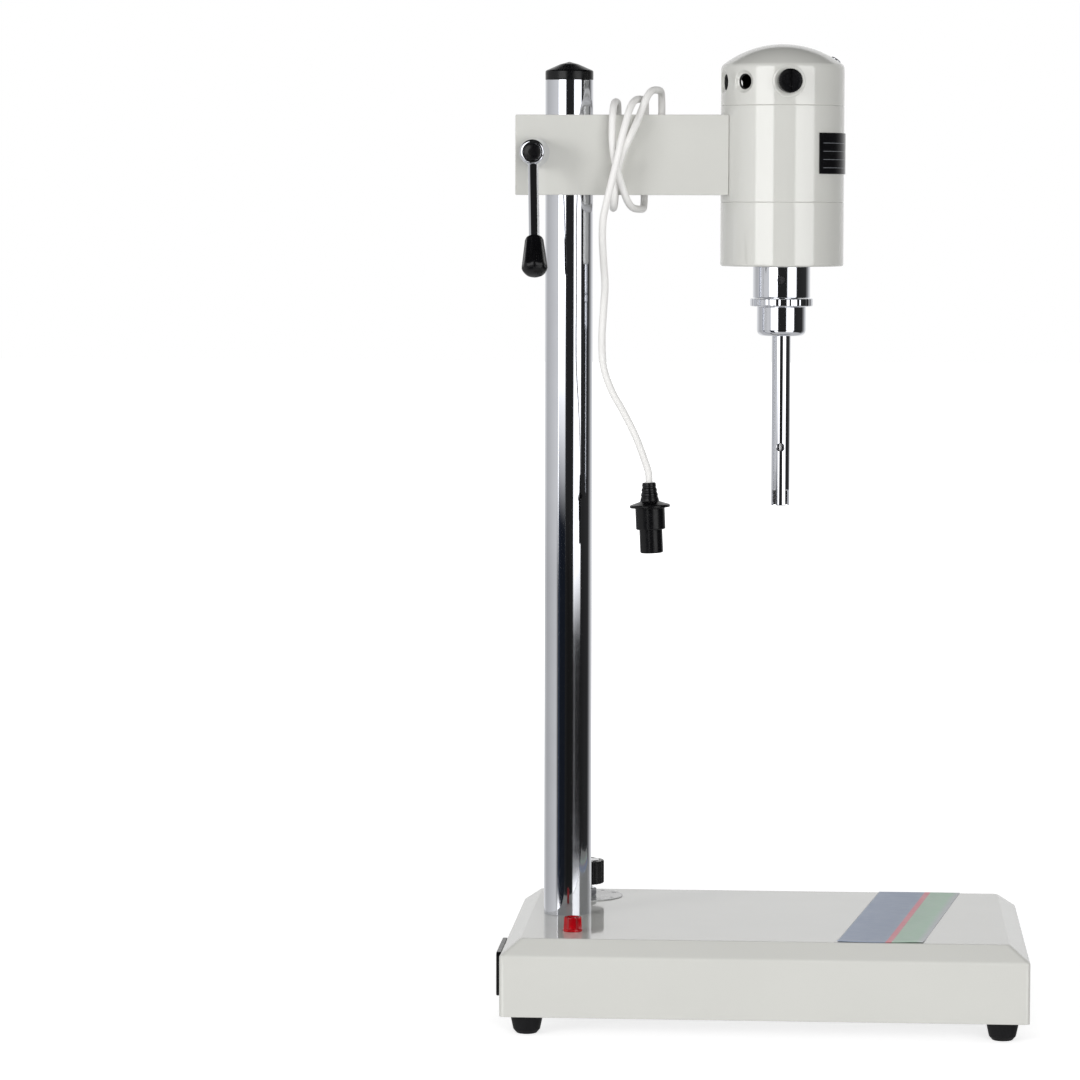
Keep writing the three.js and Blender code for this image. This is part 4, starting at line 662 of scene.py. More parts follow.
class HOMOGENIZER_OT_stage(bpy.types.Operator):
    """Set up the camera, the floor, the soft light and the cards that shine in gloss"""

    bl_idname = "homogenizer.stage"
    bl_label = "Stage"

    camera_lens, sensor = 139.2, 36
    camera_place = (0.0427, -2.793, 0.5371)
    camera_yaw, camera_pitch, camera_roll = 3.98, 4.52, 0.1
    lamp_target = (0, 0, 0.35)
    floor_reach = 12000
    drum_radius, drum_bottom, drum_top = 2600, -1800, 2600

    # Brightness of the drum at bearings in degrees, with 0 at the front and 90 at the right
    behind = [(-180, 0.95), (-160, 0.9), (-140, 0.72), (-120, 0.5), (-100, 0.55), (-62, 0.68)]
    ahead = [(114, 0.03), (130, 0.3), (143, 0.66), (160, 0.88), (180, 0.95)]
    lower = [
        (-57, 0.62), (-50, 0.07), (-38, 0.03), (-14, 0.02), (0, 0.01), (24, 0.015), (31, 0.12),
        (38, 0.03), (58, 0.015),
    ]
    roof_level, bottom_level = 0.015, 0.55
    cool = (0.7, 0.9, 1.35)

    def execute(self, context):
        scene = context.scene
        studio = scene.homogenizer_studio
        scene.view_settings.view_transform = "Standard"

        camera = bpy.data.objects.new("Camera", bpy.data.cameras.new("Camera"))
        scene.collection.objects.link(camera)
        camera.data.sensor_width = self.sensor
        camera.data.lens = self.camera_lens
        camera.data.clip_end = 100
        turn = (
            Matrix.Rotation(math.radians(self.camera_yaw), 4, "Z")
            @ Matrix.Rotation(math.pi / 2 - math.radians(self.camera_pitch), 4, "X")
            @ Matrix.Rotation(math.radians(self.camera_roll), 4, "Z")
        )
        camera.matrix_world = Matrix.Translation(self.camera_place) @ turn
        scene.camera = camera

        self.make_world(scene, studio)
        self.make_floor()
        self.make_cards(studio.softbox)
        self.make_shade()
        self.make_lamp("Front lamp", (1.3, -3.5, 0.55), 2.2, studio.front)
        self.make_lamp("Side lamp", (-2.6, -2.2, 0.95), 1.2, studio.side)
        return {"FINISHED"}

    def make_world(self, scene, studio):
        """White where the camera, gloss or clear pieces see it, and the plain sky level for the light."""
        scene.world = bpy.data.worlds.new("Studio sky")
        nodes = Nodes(scene.world)
        rays = nodes.add("ShaderNodeLightPath").outputs
        seen = nodes.math("MAXIMUM", rays["Is Camera Ray"], rays["Is Glossy Ray"])
        seen = nodes.math("MAXIMUM", seen, rays["Is Transmission Ray"])
        strength = nodes.spread(seen, studio.sky, 1.0, 0.0, 1.0)
        inputs = {"Color": (1, 1, 1, 1), "Strength": strength}
        nodes.show(nodes.add("ShaderNodeBackground", inputs), "ShaderNodeOutputWorld")

    def make_floor(self):
        """A wide flat square that shows white and keeps the machine's shadow."""
        reach = self.floor_reach
        corners = [(-reach, -reach, 0), (reach, -reach, 0), (reach, reach, 0), (-reach, reach, 0)]
        floor = self.sheet("Floor", corners)
        nodes = self.nodes_on(floor)
        place = nodes.place()
        tone = nodes.mixed(nodes.noise(place, 3.0), (0.78, 0.78, 0.78), (0.82, 0.82, 0.82))
        from_camera = nodes.add("ShaderNodeLightPath").outputs["Is Camera Ray"]
        away = nodes.add("ShaderNodeVectorMath", {0: place}, operation="LENGTH").outputs["Value"]
        near, far, near_glow, far_glow = 0.5, 1.6, 0.66, 1.2
        nodes.show(nodes.add("ShaderNodeBsdfPrincipled", {
            "Base Color": tone,
            "Roughness": 0.9,
            "Specular IOR Level": 0.0,
            "Emission Color": (1, 1, 1, 1),
            "Emission Strength": nodes.times(
                from_camera, nodes.spread(away, near_glow, far_glow, near, far),
            ),
        }))
        floor.visible_glossy = False

    def make_cards(self, box):
        """A closed drum round the machine that only gloss sees. Its brightness goes by bearing and height:
        two softboxes whose lower parts fade out, dim cards between them, a dark roof and a pale bottom."""
        outline = [
            (0, self.drum_bottom), (self.drum_radius, self.drum_bottom), (self.drum_radius, self.drum_top),
            (0, self.drum_top),
        ]
        cards = formed("Cards", grid(revolve(outline, circle(128))))
        nodes = self.nodes_on(cards)
        x, y, z = nodes.axes(nodes.place())
        bearing = nodes.math("ARCTAN2", x, nodes.times(y, -1.0))
        share = nodes.plus(nodes.math("DIVIDE", bearing, 2 * math.pi), 0.5)
        upper = [
            (-51, 0.68), (-48, box), (-17, box), (-14, 0.02), (23, 0.02), (27, 0.8 * box), (60, 0.75 * box),
            (64, 0.02),
        ]
        low_band, high_band = (
            nodes.ramp(share, [
                ((angle + 180) / 360, tuple(level / box * part for part in shade))
                for angle, level in [*self.behind, *band, *self.ahead]
            ])
            for band, shade in ((self.lower, self.cool), (upper, (1, 1, 1)))
        )
        front_edge, right_edge, fade = 0.13, 0.04, 0.12
        edge = nodes.spread(bearing, front_edge, right_edge, 0.0, 0.2)
        above = nodes.plus(nodes.math("DIVIDE", nodes.minus(z, edge), fade), 0.5)
        near_deck = nodes.spread(z, 1.0, 0.0, -0.36, -0.33)
        height = nodes.add("ShaderNodeClamp", {"Value": nodes.math("MAXIMUM", above, near_deck)}).outputs[0]
        wall = nodes.mixed(height, low_band, high_band)
        roof, bottom = ((level / box,) * 3 for level in (self.roof_level, self.bottom_level))
        roofed = nodes.mixed(nodes.spread(z, 0.0, 1.0, 2.0, 2.4), wall, roof)
        closed = nodes.mixed(nodes.spread(z, 1.0, 0.0, -1.4, -1.0), roofed, bottom)
        inputs = {"Color": (1, 1, 1, 1), "Strength": nodes.times(closed, box)}
        nodes.show(nodes.add("ShaderNodeEmission", inputs))
        self.show_in_gloss_only(cards)

    def make_shade(self):
        """A dark card left of the column that only gloss sees, clear at its top and denser at its foot."""
        left, right, y, top = -480, -204, -350, 500
        shade = self.sheet("Shade", [(left, y, 0), (right, y, 0), (right, y, top), (left, y, top)])
        nodes = self.nodes_on(shade)
        x, _, z = nodes.axes(nodes.place())
        level = nodes.spread(x, 0.07, 0.012, -0.48, -0.38)
        glow = nodes.add("ShaderNodeEmission", {"Color": (*self.cool, 1), "Strength": level}).outputs[0]
        clear = nodes.add("ShaderNodeBsdfTransparent").outputs[0]
        dense = nodes.spread(z, 1.0, 0.0, 0.3, top * MM)
        nodes.show(nodes.add("ShaderNodeMixShader", {0: dense, 1: clear, 2: glow}))
        self.show_in_gloss_only(shade)

    def sheet(self, name, corners):
        return formed(name, (np.array(corners, float), [[0, 1, 2, 3]]))

    def nodes_on(self, piece):
        """Nodes of a new material on the piece."""
        material = bpy.data.materials.new(piece.name)
        piece.data.materials.append(material)
        return Nodes(material)

    def show_in_gloss_only(self, card):
        card.visible_camera = False
        card.visible_diffuse = False
        card.visible_transmission = False
        card.visible_shadow = False

    def make_lamp(self, name, place, width, power):
        light = bpy.data.lights.new(name, "AREA")
        light.size = width
        light.energy = power
        lamp = bpy.data.objects.new(name, light)
        bpy.context.scene.collection.objects.link(lamp)
        away = unit(np.subtract(place, self.lamp_target))
        aside = unit(np.cross(UP, away))
        turn = np.eye(4)
        turn[:3, :3] = np.array([aside, np.cross(away, aside), away]).T
        lamp.matrix_world = Matrix.Translation(place) @ Matrix(turn.tolist())
        lamp.visible_glossy = False


class HOMOGENIZER_OT_motor_lead(bpy.types.Operator):
    """Lay the motor lead: behind the arm, wound round it, and hanging with its plug"""

    bl_idname = "homogenizer.motor_lead"
    bl_label = "Motor Lead"

    diameter = 4.8
    lead = [
        (104.08, 40.66, 1.5), (100.2, 44.9, 1.3), (93.2, 50, -1.5), (84, 51.6, -7.7), (75, 48.6, -13.9),
        (67.4, 42, -17.1), (62.2, 34.6, -15.5), (59.9, 29.2, -9.9), (59.5, 27.4, -5.1),
    ]
    # One station each quarter turn, (x, reach from the arm's middle line): behind, over, in front, under
    stations = np.array([
        (59.4, 27.3), (58.9, 43.2), (36.7, 27.3), (29.5, 35.2), (30.6, 27.3), (31.6, 35.2),
        (31.4, 33), (47.6, 35.8), (48.4, 27.3), (48.8, 37), (34.7, 38.7),
    ])
    leaving = (26.1, -38.7, -35.9)
    drop = [
        (24.9, -38.7, -42.1), (24.4, -38.7, -54), (25.2, -38.6, -70), (26.2, -38.5, -85.9),
        (25.3, -38.4, -101.9), (24.3, -38.3, -121.5), (25.4, -38.2, -139.5), (30.6, -38.2, -154.9),
        (38.8, -38.2, -169.7), (46.8, -38.2, -185.7), (52.6, -38.2, -200.9),
    ]
    plug_top = np.array([55.7, -38.2, -216.0])
    plug_tilt = math.radians(2.5)
    plug_axis = np.array([-math.sin(plug_tilt), 0, math.cos(plug_tilt)])

    def winding(self):
        """The path is |y/a|^4 + |z/b|^4 = 1. a and b ease along a cosine from one station to the next that
        has them, and x is a Hermite cubic through the stations."""
        steps, last = 48, len(self.stations) - 1
        quarter = np.arange(steps * last + 1) / steps

        def reach(parity):
            known = np.arange(parity, last + 1, 2)
            at = np.clip((quarter - parity) / 2, 0, len(known) - 1)
            first = np.minimum(np.floor(at).astype(int), len(known) - 2)
            share = (1 - np.cos(np.pi * (at - first))) / 2
            values = self.stations[known, 1]
            return values[first] * (1 - share) + values[first + 1] * share

        x = np.append(self.stations[:, 0], self.leaving[0])
        first = np.minimum(np.floor(quarter).astype(int), last - 1)
        slope_in = (x[first + 1] - x[np.maximum(first - 1, 0)]) / 2
        slope_out = (x[first + 2] - x[first]) / 2
        across = hermite(quarter - first, x[first], x[first + 1], slope_in, slope_out)
        y, z = np.cos(np.pi / 2 * quarter), np.sin(np.pi / 2 * quarter)
        scale = (np.abs(y / reach(0)) ** 4 + np.abs(z / reach(1)) ** 4) ** -0.25
        return np.stack([across, scale * y, scale * z], -1)

    def path(self):
        """Lead, winding and drop as one line in the machine's frame."""
        wound = self.winding()
        ends = [self.plug_top + 6 * self.plug_axis, self.plug_top - 1.5 * self.plug_axis]
        fall = curve_through([wound[-1], self.leaving, *self.drop, *ends])
        line = np.concatenate([curve_through([*self.lead, wound[0]])[:-1], wound[:-1], fall])
        return line + (COLUMN_X, 0, ARM_MIDDLE)

    def execute(self, context):
        path = self.path()
        cord = formed("motor_lead", tube(path, self.diameter / 2), sharp=80)
        finished(cord, "Cord skin", "arm", "white_cord", "cord_lead", "cord_winding", "cord_drop")
        plug = self.make_plug()
        self.make_gland()
        return {"FINISHED"}

    def make_plug(self):
        """Ribbed neck, wide skirt, body and nose, turned about the plug's axis, less three holes."""
        neck = []
        for depth in (3.1, 6.2, 9.3):
            flare = 4.35 + 0.16 * depth
            neck += [
                (flare - 0.1, -depth + 0.9, 0.2), (flare - 0.35, -depth + 0.4, 0.15),
                (flare - 0.25, -depth - 0.4, 0.15), (flare + 0.1, -depth - 0.9, 0.2),
            ]
        place = self.plug_top + (COLUMN_X, 0, ARM_MIDDLE), self.plug_axis
        plug = lathed("motor_plug", [
            (0, 0, 0), (4.35, 0, 0.5), *neck, (6.35, -12.5, 1.2), (13.4, -14.8, 1.0), (13.4, -16.5, 0.4),
            (9.8, -16.9, 0.3), (9.8, -31, 0.8), (7.65, -31.1, 0.2), (7.65, -46.7, 1.0), (0, -46.7, 0),
        ], 72, *place)
        pierced(plug, [placed(hole, *place) for hole in three_round(rod(1.3, -48, -38, 20))])
        return finished(plug, "Black plastic", "arm", "black_plastic", "cord_plug")

    def make_gland(self):
        """Flange and tapered, ringed sleeve turned about the lead's first direction."""
        outward = heading(math.radians(133))
        sleeve = []
        for start in (5.2, 7.6, 10.0):
            taper = 4.5 - 0.08 * (start - 2.7)
            sleeve += [
                (taper, start - 0.5, 0.2), (taper - 0.5, start, 0.15), (taper - 0.5, start + 0.7, 0.15),
                (taper - 0.05, start + 1.2, 0.2),
            ]
        place = HEAD_AXIS + outward * (HEAD_RADIUS + 0.3) + (0, 0, middle_of("cord_gland")[2])
        gland = lathed("lead_gland", [
            (0, -3.15, 0), (3.9, -3.15, 0.3), (3.9, TINY, 0), (6, 0, 0.5), (6, 2.7, 0.8), (4.6, 2.9, 0.4),
            *sleeve, (3.6, 14, 0.6), (0, 14, 0),
        ], 64, place, outward, UP)
        finished(gland, "Rubber", "arm", "rubber", "cord_gland")


class HOMOGENIZER_OT_base(bpy.types.Operator):
    """Make the folded cover, the four feet and the label on the deck"""

    bl_idname = "homogenizer.base"
    bl_label = "Base"

    def execute(self, context):
        self.make_cover(context.scene.homogenizer_sizes.fold_radius / MM)
        self.make_feet()
        self.make_label()
        return {"FINISHED"}

    def make_cover(self, fold):
        """Each point (inset, height) of the sheet's section becomes a level rectangle, corners rounded."""
        wall, inset, bevel, corner, margin = 1.5, 13, 10, 3, 30
        low, high = corners_of("base_cover")
        bottom, shoulder = low[2], DECK - bevel
        slope = math.atan2(bevel, inset)
        drop, back = wall * math.tan((math.pi / 2 - slope) / 2), wall * math.tan(slope / 2)
        inner_fold = max(fold - wall, 0.3)
        section = rounded([
            (inset + margin, DECK - wall, 0), (inset + back, DECK - wall, inner_fold),
            (wall, shoulder - drop, inner_fold), (wall, bottom, 0.25), (0, bottom, 0.4),
            (0, shoulder, fold), (inset, DECK, fold), (inset + margin, DECK, 0),
        ], near=1.0)
        outer_top = (section[:, 1] > shoulder - 2) & (np.arange(len(section)) > len(section) // 2)
        radii = np.where((section[:, 0] >= wall - 0.01) & ~outer_top, corner - wall, corner)
        half, middle = (high - low) / 2, (high + low) / 2
        shell = stacked([
            (rectangle(half[0] - depth, half[1] - depth, radius) + (middle[0], 0), height)
            for (depth, height, _), radius in zip(section, radii)
        ])
        cover = formed("folded_cover", shell)
        rear, rim = low[0], 1.7
        _, y, z = middle_of("lead_socket")
        socket = placed(rod(9.7, -1, 3, 48), (rear, y, z), RIGHT, UP)
        (_, y0, z0), (_, y1, z1) = corners_of("power_inlet")
        inlet = block(rear - 1, rear + 3, y0 + rim, y1 - rim, z0 + rim, z1 - rim)
        pierced(cover, [inlet, socket])
        finished(cover, "Sheet paint", "base", "painted_sheet", "base_cover")

    def make_feet(self):
        """A foot is turned about its screw: a tapered skirt, a flat ring to stand on and a recess."""
        for corner in ("front_left", "front_right", "rear_left", "rear_right"):
            x, y, _ = middle_of("foot_" + corner)
            foot = lathed("rubber_foot_" + corner, [
                (0, 5, 0), (3, 5, 0), (3, 0, 0.5), (6.5, 0, 1.0), (8.8, 2.6, 1.5), (11, 13, 0.6),
                (2.7, 13.0, 0), (2.7, 17, 0.4), (0, 17, 0),
            ], 56, (x, y, 0))
            finished(foot, "Rubber", "base", "rubber", "foot_" + corner)

    def make_label(self):
        """A thin slanted sheet whose front end lifts off the deck, most at its left corner."""
        low, high = corners_of("front_label")
        thickness = high[2] - low[2] - TINY
        along, across = np.meshgrid(np.linspace(0, 1, 61), np.linspace(0, 1, 15), indexing="ij")
        lift = np.clip((0.1 - along) / 0.1, 0, 1) ** 2
        lift = lift * (0.9 - 0.55 * np.sin(np.pi * np.clip(across * 1.15, 0, 1)))
        x = low[0] + LABEL_SLANT * along + (high[0] - low[0] - LABEL_SLANT) * across
        y = low[1] + (high[1] - low[1]) * along
        top = np.stack([x, y, high[2] + lift], -1)
        bottom = top - (0, 0, thickness)
        label = formed("deck_label", capped(np.concatenate([top, bottom[:, ::-1]], axis=1)))
        finished(label, "Label film", "base", "label_film", "front_label")


class HOMOGENIZER_OT_column(bpy.types.Operator):
    """Make the chromed column and its cap"""

    bl_idname = "homogenizer.column"
    bl_label = "Column"

    def execute(self, context):
        foot, top = COLUMN_LOW[2], COLUMN_HIGH[2]
        outer, inner, thread = COLUMN_RADIUS, COLUMN_RADIUS - 2, 5.3
        column = lathed("chromed_column", [
            (thread, foot, 0.2), (outer, foot, 0.3), (outer, top, 0.4), (inner, top, 0.3),
            (inner, foot + 30, 0.3), (thread, foot + 30, 0.3),
        ], 160, COLUMN_AXIS, closed=True)
        finished(column, "Chrome", "base", "chrome", "column")
        crown, plug = levels_of("column_cap")[1], inner - 0.3
        cap = lathed("top_cap", [
            (0, top - 16, 0), (plug, top - 16, 0.6), (plug, top + TINY, 0), (outer, top + TINY, 0.3),
            (outer, top + 6, 1.4), (6, crown - 1.6, 6), (0, crown, 0),
        ], 96, COLUMN_AXIS)
        finished(cap, "Black plastic", "base", "black_plastic", "column_cap")
        return {"FINISHED"}


class HOMOGENIZER_OT_speed_control(bpy.types.Operator):
    """Make the speed knob, its silver cap, its nut and the dial with its numbers"""

    bl_idname = "homogenizer.speed_control"
    bl_label = "Speed Control"

    start_angle, step_angle = -30, -30

    def execute(self, context):
        self.make_knob()
        self.make_dial(context.scene.homogenizer_sizes.dial_digits / MM)
        return {"FINISHED"}

    def make_knob(self):
        """A turned and ribbed body with a pointer mark, and a cap with a sunk face."""
        bottom, top = levels_of("speed_knob")
        cap_bottom, cap_top = levels_of("knob_cap")
        bore, recess, outer, sunk = 3.3, 9.8, 12.75, cap_top - 0.35
        knob = lathed("ribbed_knob", [
            (bore, bottom, 0.3), (outer, bottom, 0.9, 1), (outer, top, 0.9, 1), (recess, top, 0.3),
            (recess, cap_bottom, 0), (bore, cap_bottom, 0),
        ], 240, KNOB_AXIS, closed=True, wave=ribs(24, 0.55), sharp=50)
        finished(knob, "Black plastic", "knob", "black_plastic", "speed_knob")
        outward = heading(math.radians(self.start_angle))
        mark = placed(block(10.05, 12.2, -0.45, 0.45, top - 0.25, top + 0.12), KNOB_AXIS, UP, outward)
        finished(softened(formed("knob_pointer", mark), 0.08, 2), "Cord skin", "knob", "white_cord")
        cap = lathed("silver_cap", [
            (0, cap_bottom, 0), (9.5, cap_bottom, 0.2), (9.5, cap_top, 0.5), (8.2, cap_top, 0.3),
            (7.6, sunk, 0.3), (0, sunk, 0),
        ], 96, KNOB_AXIS, sharp=40)
        finished(cap, "Brushed cap", "knob", "chrome", "knob_cap")

    def make_dial(self, digit_height):
        """A thin turned disc with a nut, and eleven numbers that face outwards."""
        nut = placed(hex_nut(13, 4.8, *levels_of("pot_nut")), KNOB_AXIS)
        finished(formed("dial_nut", nut, sharp=25), "Chrome", "base", "chrome", "pot_nut")
        bottom, top = levels_of("dial_plate")
        dial = lathed("speed_dial", [
            (4.8, bottom + TINY, 0), (25.75, bottom + TINY, 0.1), (25.75, top, 0.25), (4.8, top, 0),
        ], 128, KNOB_AXIS, closed=True)
        finished(dial, "Dial film", "base", "dial_film", "dial_plate")
        digits = []
        for number in range(11):
            outward = heading(math.radians(self.start_angle + self.step_angle * number))
            spot = KNOB_AXIS + outward * 21.4 + (0, 0, top)
            digits.append(placed(lettering(str(number), digit_height), spot, UP, np.cross(outward, UP)))
        finished(formed("dial_numbers", digits), "Dial ink", "base", "black_plastic")


def hex_nut(across, bore, bottom, top):
    """A nut: its radius is the lesser of a hexagon's at the angle and a 30 degree cone's at the height."""
    heights = np.array([bottom, bottom + 0.35, bottom + 0.7, top - 0.9, top - 0.45, top])[:, None]
    angles = circle(96)
    flats = across / 2 / np.cos(np.mod(angles, np.pi / 3) - np.pi / 6)
    from_end = np.minimum(heights - bottom, top - heights)
    walls = swept(np.minimum(flats, across / 2 * 1.01 + from_end * 1.73), angles, heights)
    hole = revolve([(bore, top), (bore, bottom)], angles)
    return grid(np.concatenate([walls, hole]), close_rows=True)


def lettering(text, height):
    """Solid figures of the default font, flat on z = 0, as one shell in millimetres."""
    size_per_height = 1.35
    curve = bpy.data.curves.new("Figures", "FONT")
    curve.body = text
    curve.size = height * size_per_height
    curve.align_x, curve.align_y = "CENTER", "CENTER"
    curve.extrude = 0.03
    curve.resolution_u = 4
    figures = bpy.data.objects.new("Figures", curve)
    bpy.context.scene.collection.objects.link(figures)
    mesh = mesh_of(figures)
    points = np.zeros(3 * len(mesh.vertices), np.float32)
    mesh.vertices.foreach_get("co", points)
    faces = [list(face.vertices) for face in mesh.polygons]
    bpy.data.objects.remove(figures)
    bpy.data.meshes.remove(mesh)
    return points.reshape(-1, 3).astype(float), faces


class HOMOGENIZER_OT_lamp(bpy.types.Operator):
    """Make the fluted red lamp: its radius dips by 1.1 |cos 4a| millimetres round the axis"""

    bl_idname = "homogenizer.lamp"
    bl_label = "Lamp"

    def execute(self, context):
        x, y, _ = middle_of("indicator_lamp")
        rim, dish = DECK + 9.5, DECK + 8.7
        lens = lathed("red_lens", [
            (0, DECK - 14, 0), (4.3, DECK - 14, 0.3), (4.3, DECK + TINY, 0), (6.5, DECK + TINY, 0.2),
            (6.5, DECK + 1.5, 0.4), (6.4, DECK + 2.1, 0.3, 1), (6.0, rim, 0.5, 1), (4.4, rim, 0.3),
            (4.0, dish, 0.3), (0, dish, 0),
        ], 160, (x, y, 0), wave=lambda angles: -1.1 * np.abs(np.cos(4 * angles)), sharp=24)
        finished(lens, "Red lens", "base", "red_lens", "indicator_lamp")
        return {"FINISHED"}


class HOMOGENIZER_OT_rear(bpy.types.Operator):
    """Make the mains inlet, its rocker switch and the socket of the motor lead"""

    bl_idname = "homogenizer.rear"
    bl_label = "Rear Sockets"

    wall_x = corners_of("base_cover")[0][0]

    def execute(self, context):
        self.make_inlet()
        self.make_rocker()
        self.make_socket()
        return {"FINISHED"}

    def make_inlet(self):
        """Flange and body, less a keyed recess and a pocket for the rocker, then three flat pins."""
        _, side, height = middle_of("power_inlet")
        place = (self.wall_x, side, height), LEFT, UP
        flange = rectangle(14.5, 29, 2.2, near=0.3)
        body = rectangle(12.5, 27, 1.5, near=0.3)
        levels = [(body, -22), (body, -0.2), (body, 0), (flange, 0), (flange, 2.5), (flange * 0.985, 3)]
        inlet = formed("mains_inlet", placed(stacked(levels), *place))
        tall, wide, corner, recess_side, pocket_side = 8.25, 12.25, 4, 13.5, -15.5
        recess = np.array([
            (-tall, -wide), (tall - corner, -wide), (tall, corner - wide), (tall, wide - corner),
            (tall - corner, wide), (-tall, wide),
        ]) + (0, recess_side)
        pocket = block(-9.7, 9.7, pocket_side - 7, pocket_side + 7, -12, 4)
        pierced(inlet, [placed(raised(recess, -13, 4), *place), placed(pocket, *place)])
        softened(inlet, 0.3, 2)
        finished(inlet, "Black plastic", "base", "black_plastic", "power_inlet")
        pins = []
        for y, z in ((-7, -1.25), (0, 1.25), (7, -1.25)):
            y, z = side - recess_side + y, height + z
            pins.append(block(self.wall_x + 4, self.wall_x + 13.5, y - 1, y + 1, z - 2, z + 2))
        finished(softened(formed("inlet_pins", pins), 0.4, 2), "Turned steel", "base", "steel")

    def make_rocker(self):
        """Its side is part of a circle about the pivot, its face a shallow V, carried across its width."""
        low, high = corners_of("power_rocker")
        radius, proud, travel = 9.4, 4, math.radians(16)
        tip = math.sqrt(radius**2 - proud**2)
        depth = proud - tip * math.tan(travel)
        low_tip = math.sqrt(radius**2 - depth**2)
        angles = np.linspace(math.atan2(tip, -proud), math.atan2(-low_tip, -depth), 33)
        outline = np.concatenate([[(-depth, 0)], swept(radius, angles, 0)[:, :2]])
        pivot = (self.wall_x, high[1], middle_of("power_inlet")[2])
        shell = placed(raised(outline, 0, high[1] - low[1]), pivot, NEAR, RIGHT)
        rocker = softened(formed("switch_rocker", shell), 0.5, 3)
        finished(rocker, "Black plastic", "rocker", "black_plastic", "power_rocker")

    def make_socket(self):
        """Flange and body turned about the socket's axis, with a bore and three pins."""
        _, y, z = middle_of("lead_socket")
        place = (self.wall_x, y, z), LEFT, UP
        socket = lathed("motor_socket", [
            (0, -20, 0), (9.4, -20, 0.6), (9.4, 0.3, 0), (11, 0.3, 0.1), (11, 1.2, 0.4), (7.95, 1.2, 0.3),
            (7.95, -12, 0), (0, -12, 0),
        ], 72, *place)
        finished(socket, "Black plastic", "base", "black_plastic", "lead_socket")
        pin = turned(rounded([(0, -13, 0), (1, -13, 0), (1, -4, 0.6), (0, -4, 0)]), 20)
        pins = [placed(shell, *place) for shell in three_round(pin)]
        finished(formed("socket_pins", pins), "Turned steel", "base", "steel")


class HOMOGENIZER_OT_arm(bpy.types.Operator):
    """Make the cast arm and the nut of its clamp"""

    bl_idname = "homogenizer.arm"
    bl_label = "Arm"

    def execute(self, context):
        low, high = corners_of("arm_casting")
        tail, half, slit, bore, saddle = low[0], 22, 1.5, 17.6, HEAD_RADIUS + 0.3
        inner = math.asin(slit / bore)
        bore_angles = np.pi - inner - (2 * np.pi - 2 * inner) * np.linspace(0, 1, 97)
        saddle_angles = np.pi + math.asin(half / saddle) * np.linspace(1, -1, 41)
        hole = COLUMN_AXIS[:2] + swept(bore, bore_angles, 0)[:, :2]
        front = HEAD_AXIS[:2] + swept(saddle, saddle_angles, 0)[:, :2]
        outline = np.concatenate([
            [(tail, slit)], hole, [(tail, -slit), (tail, -half)], front, [(tail, half)],
        ])
        arm = formed("cast_arm", raised(outline, low[2], high[2]))
        x, _, z = middle_of("clamp_screw")
        place = (x, 0, z), FAR, RIGHT
        pierced(arm, [placed(rod(3.3, -30, 30, 32), *place)])
        softened(arm, context.scene.homogenizer_sizes.casting_edge / MM, 3)
        finished(arm, "Casting paint", "arm", "painted_casting", "arm_casting")
        low, high = corners_of("clamp_nut")
        nut = formed("clamp_back_nut", placed(hex_nut(10, 3.3, low[1], high[1]), *place), 25)
        finished(nut, "Chrome", "arm", "steel", "clamp_nut")
        return {"FINISHED"}


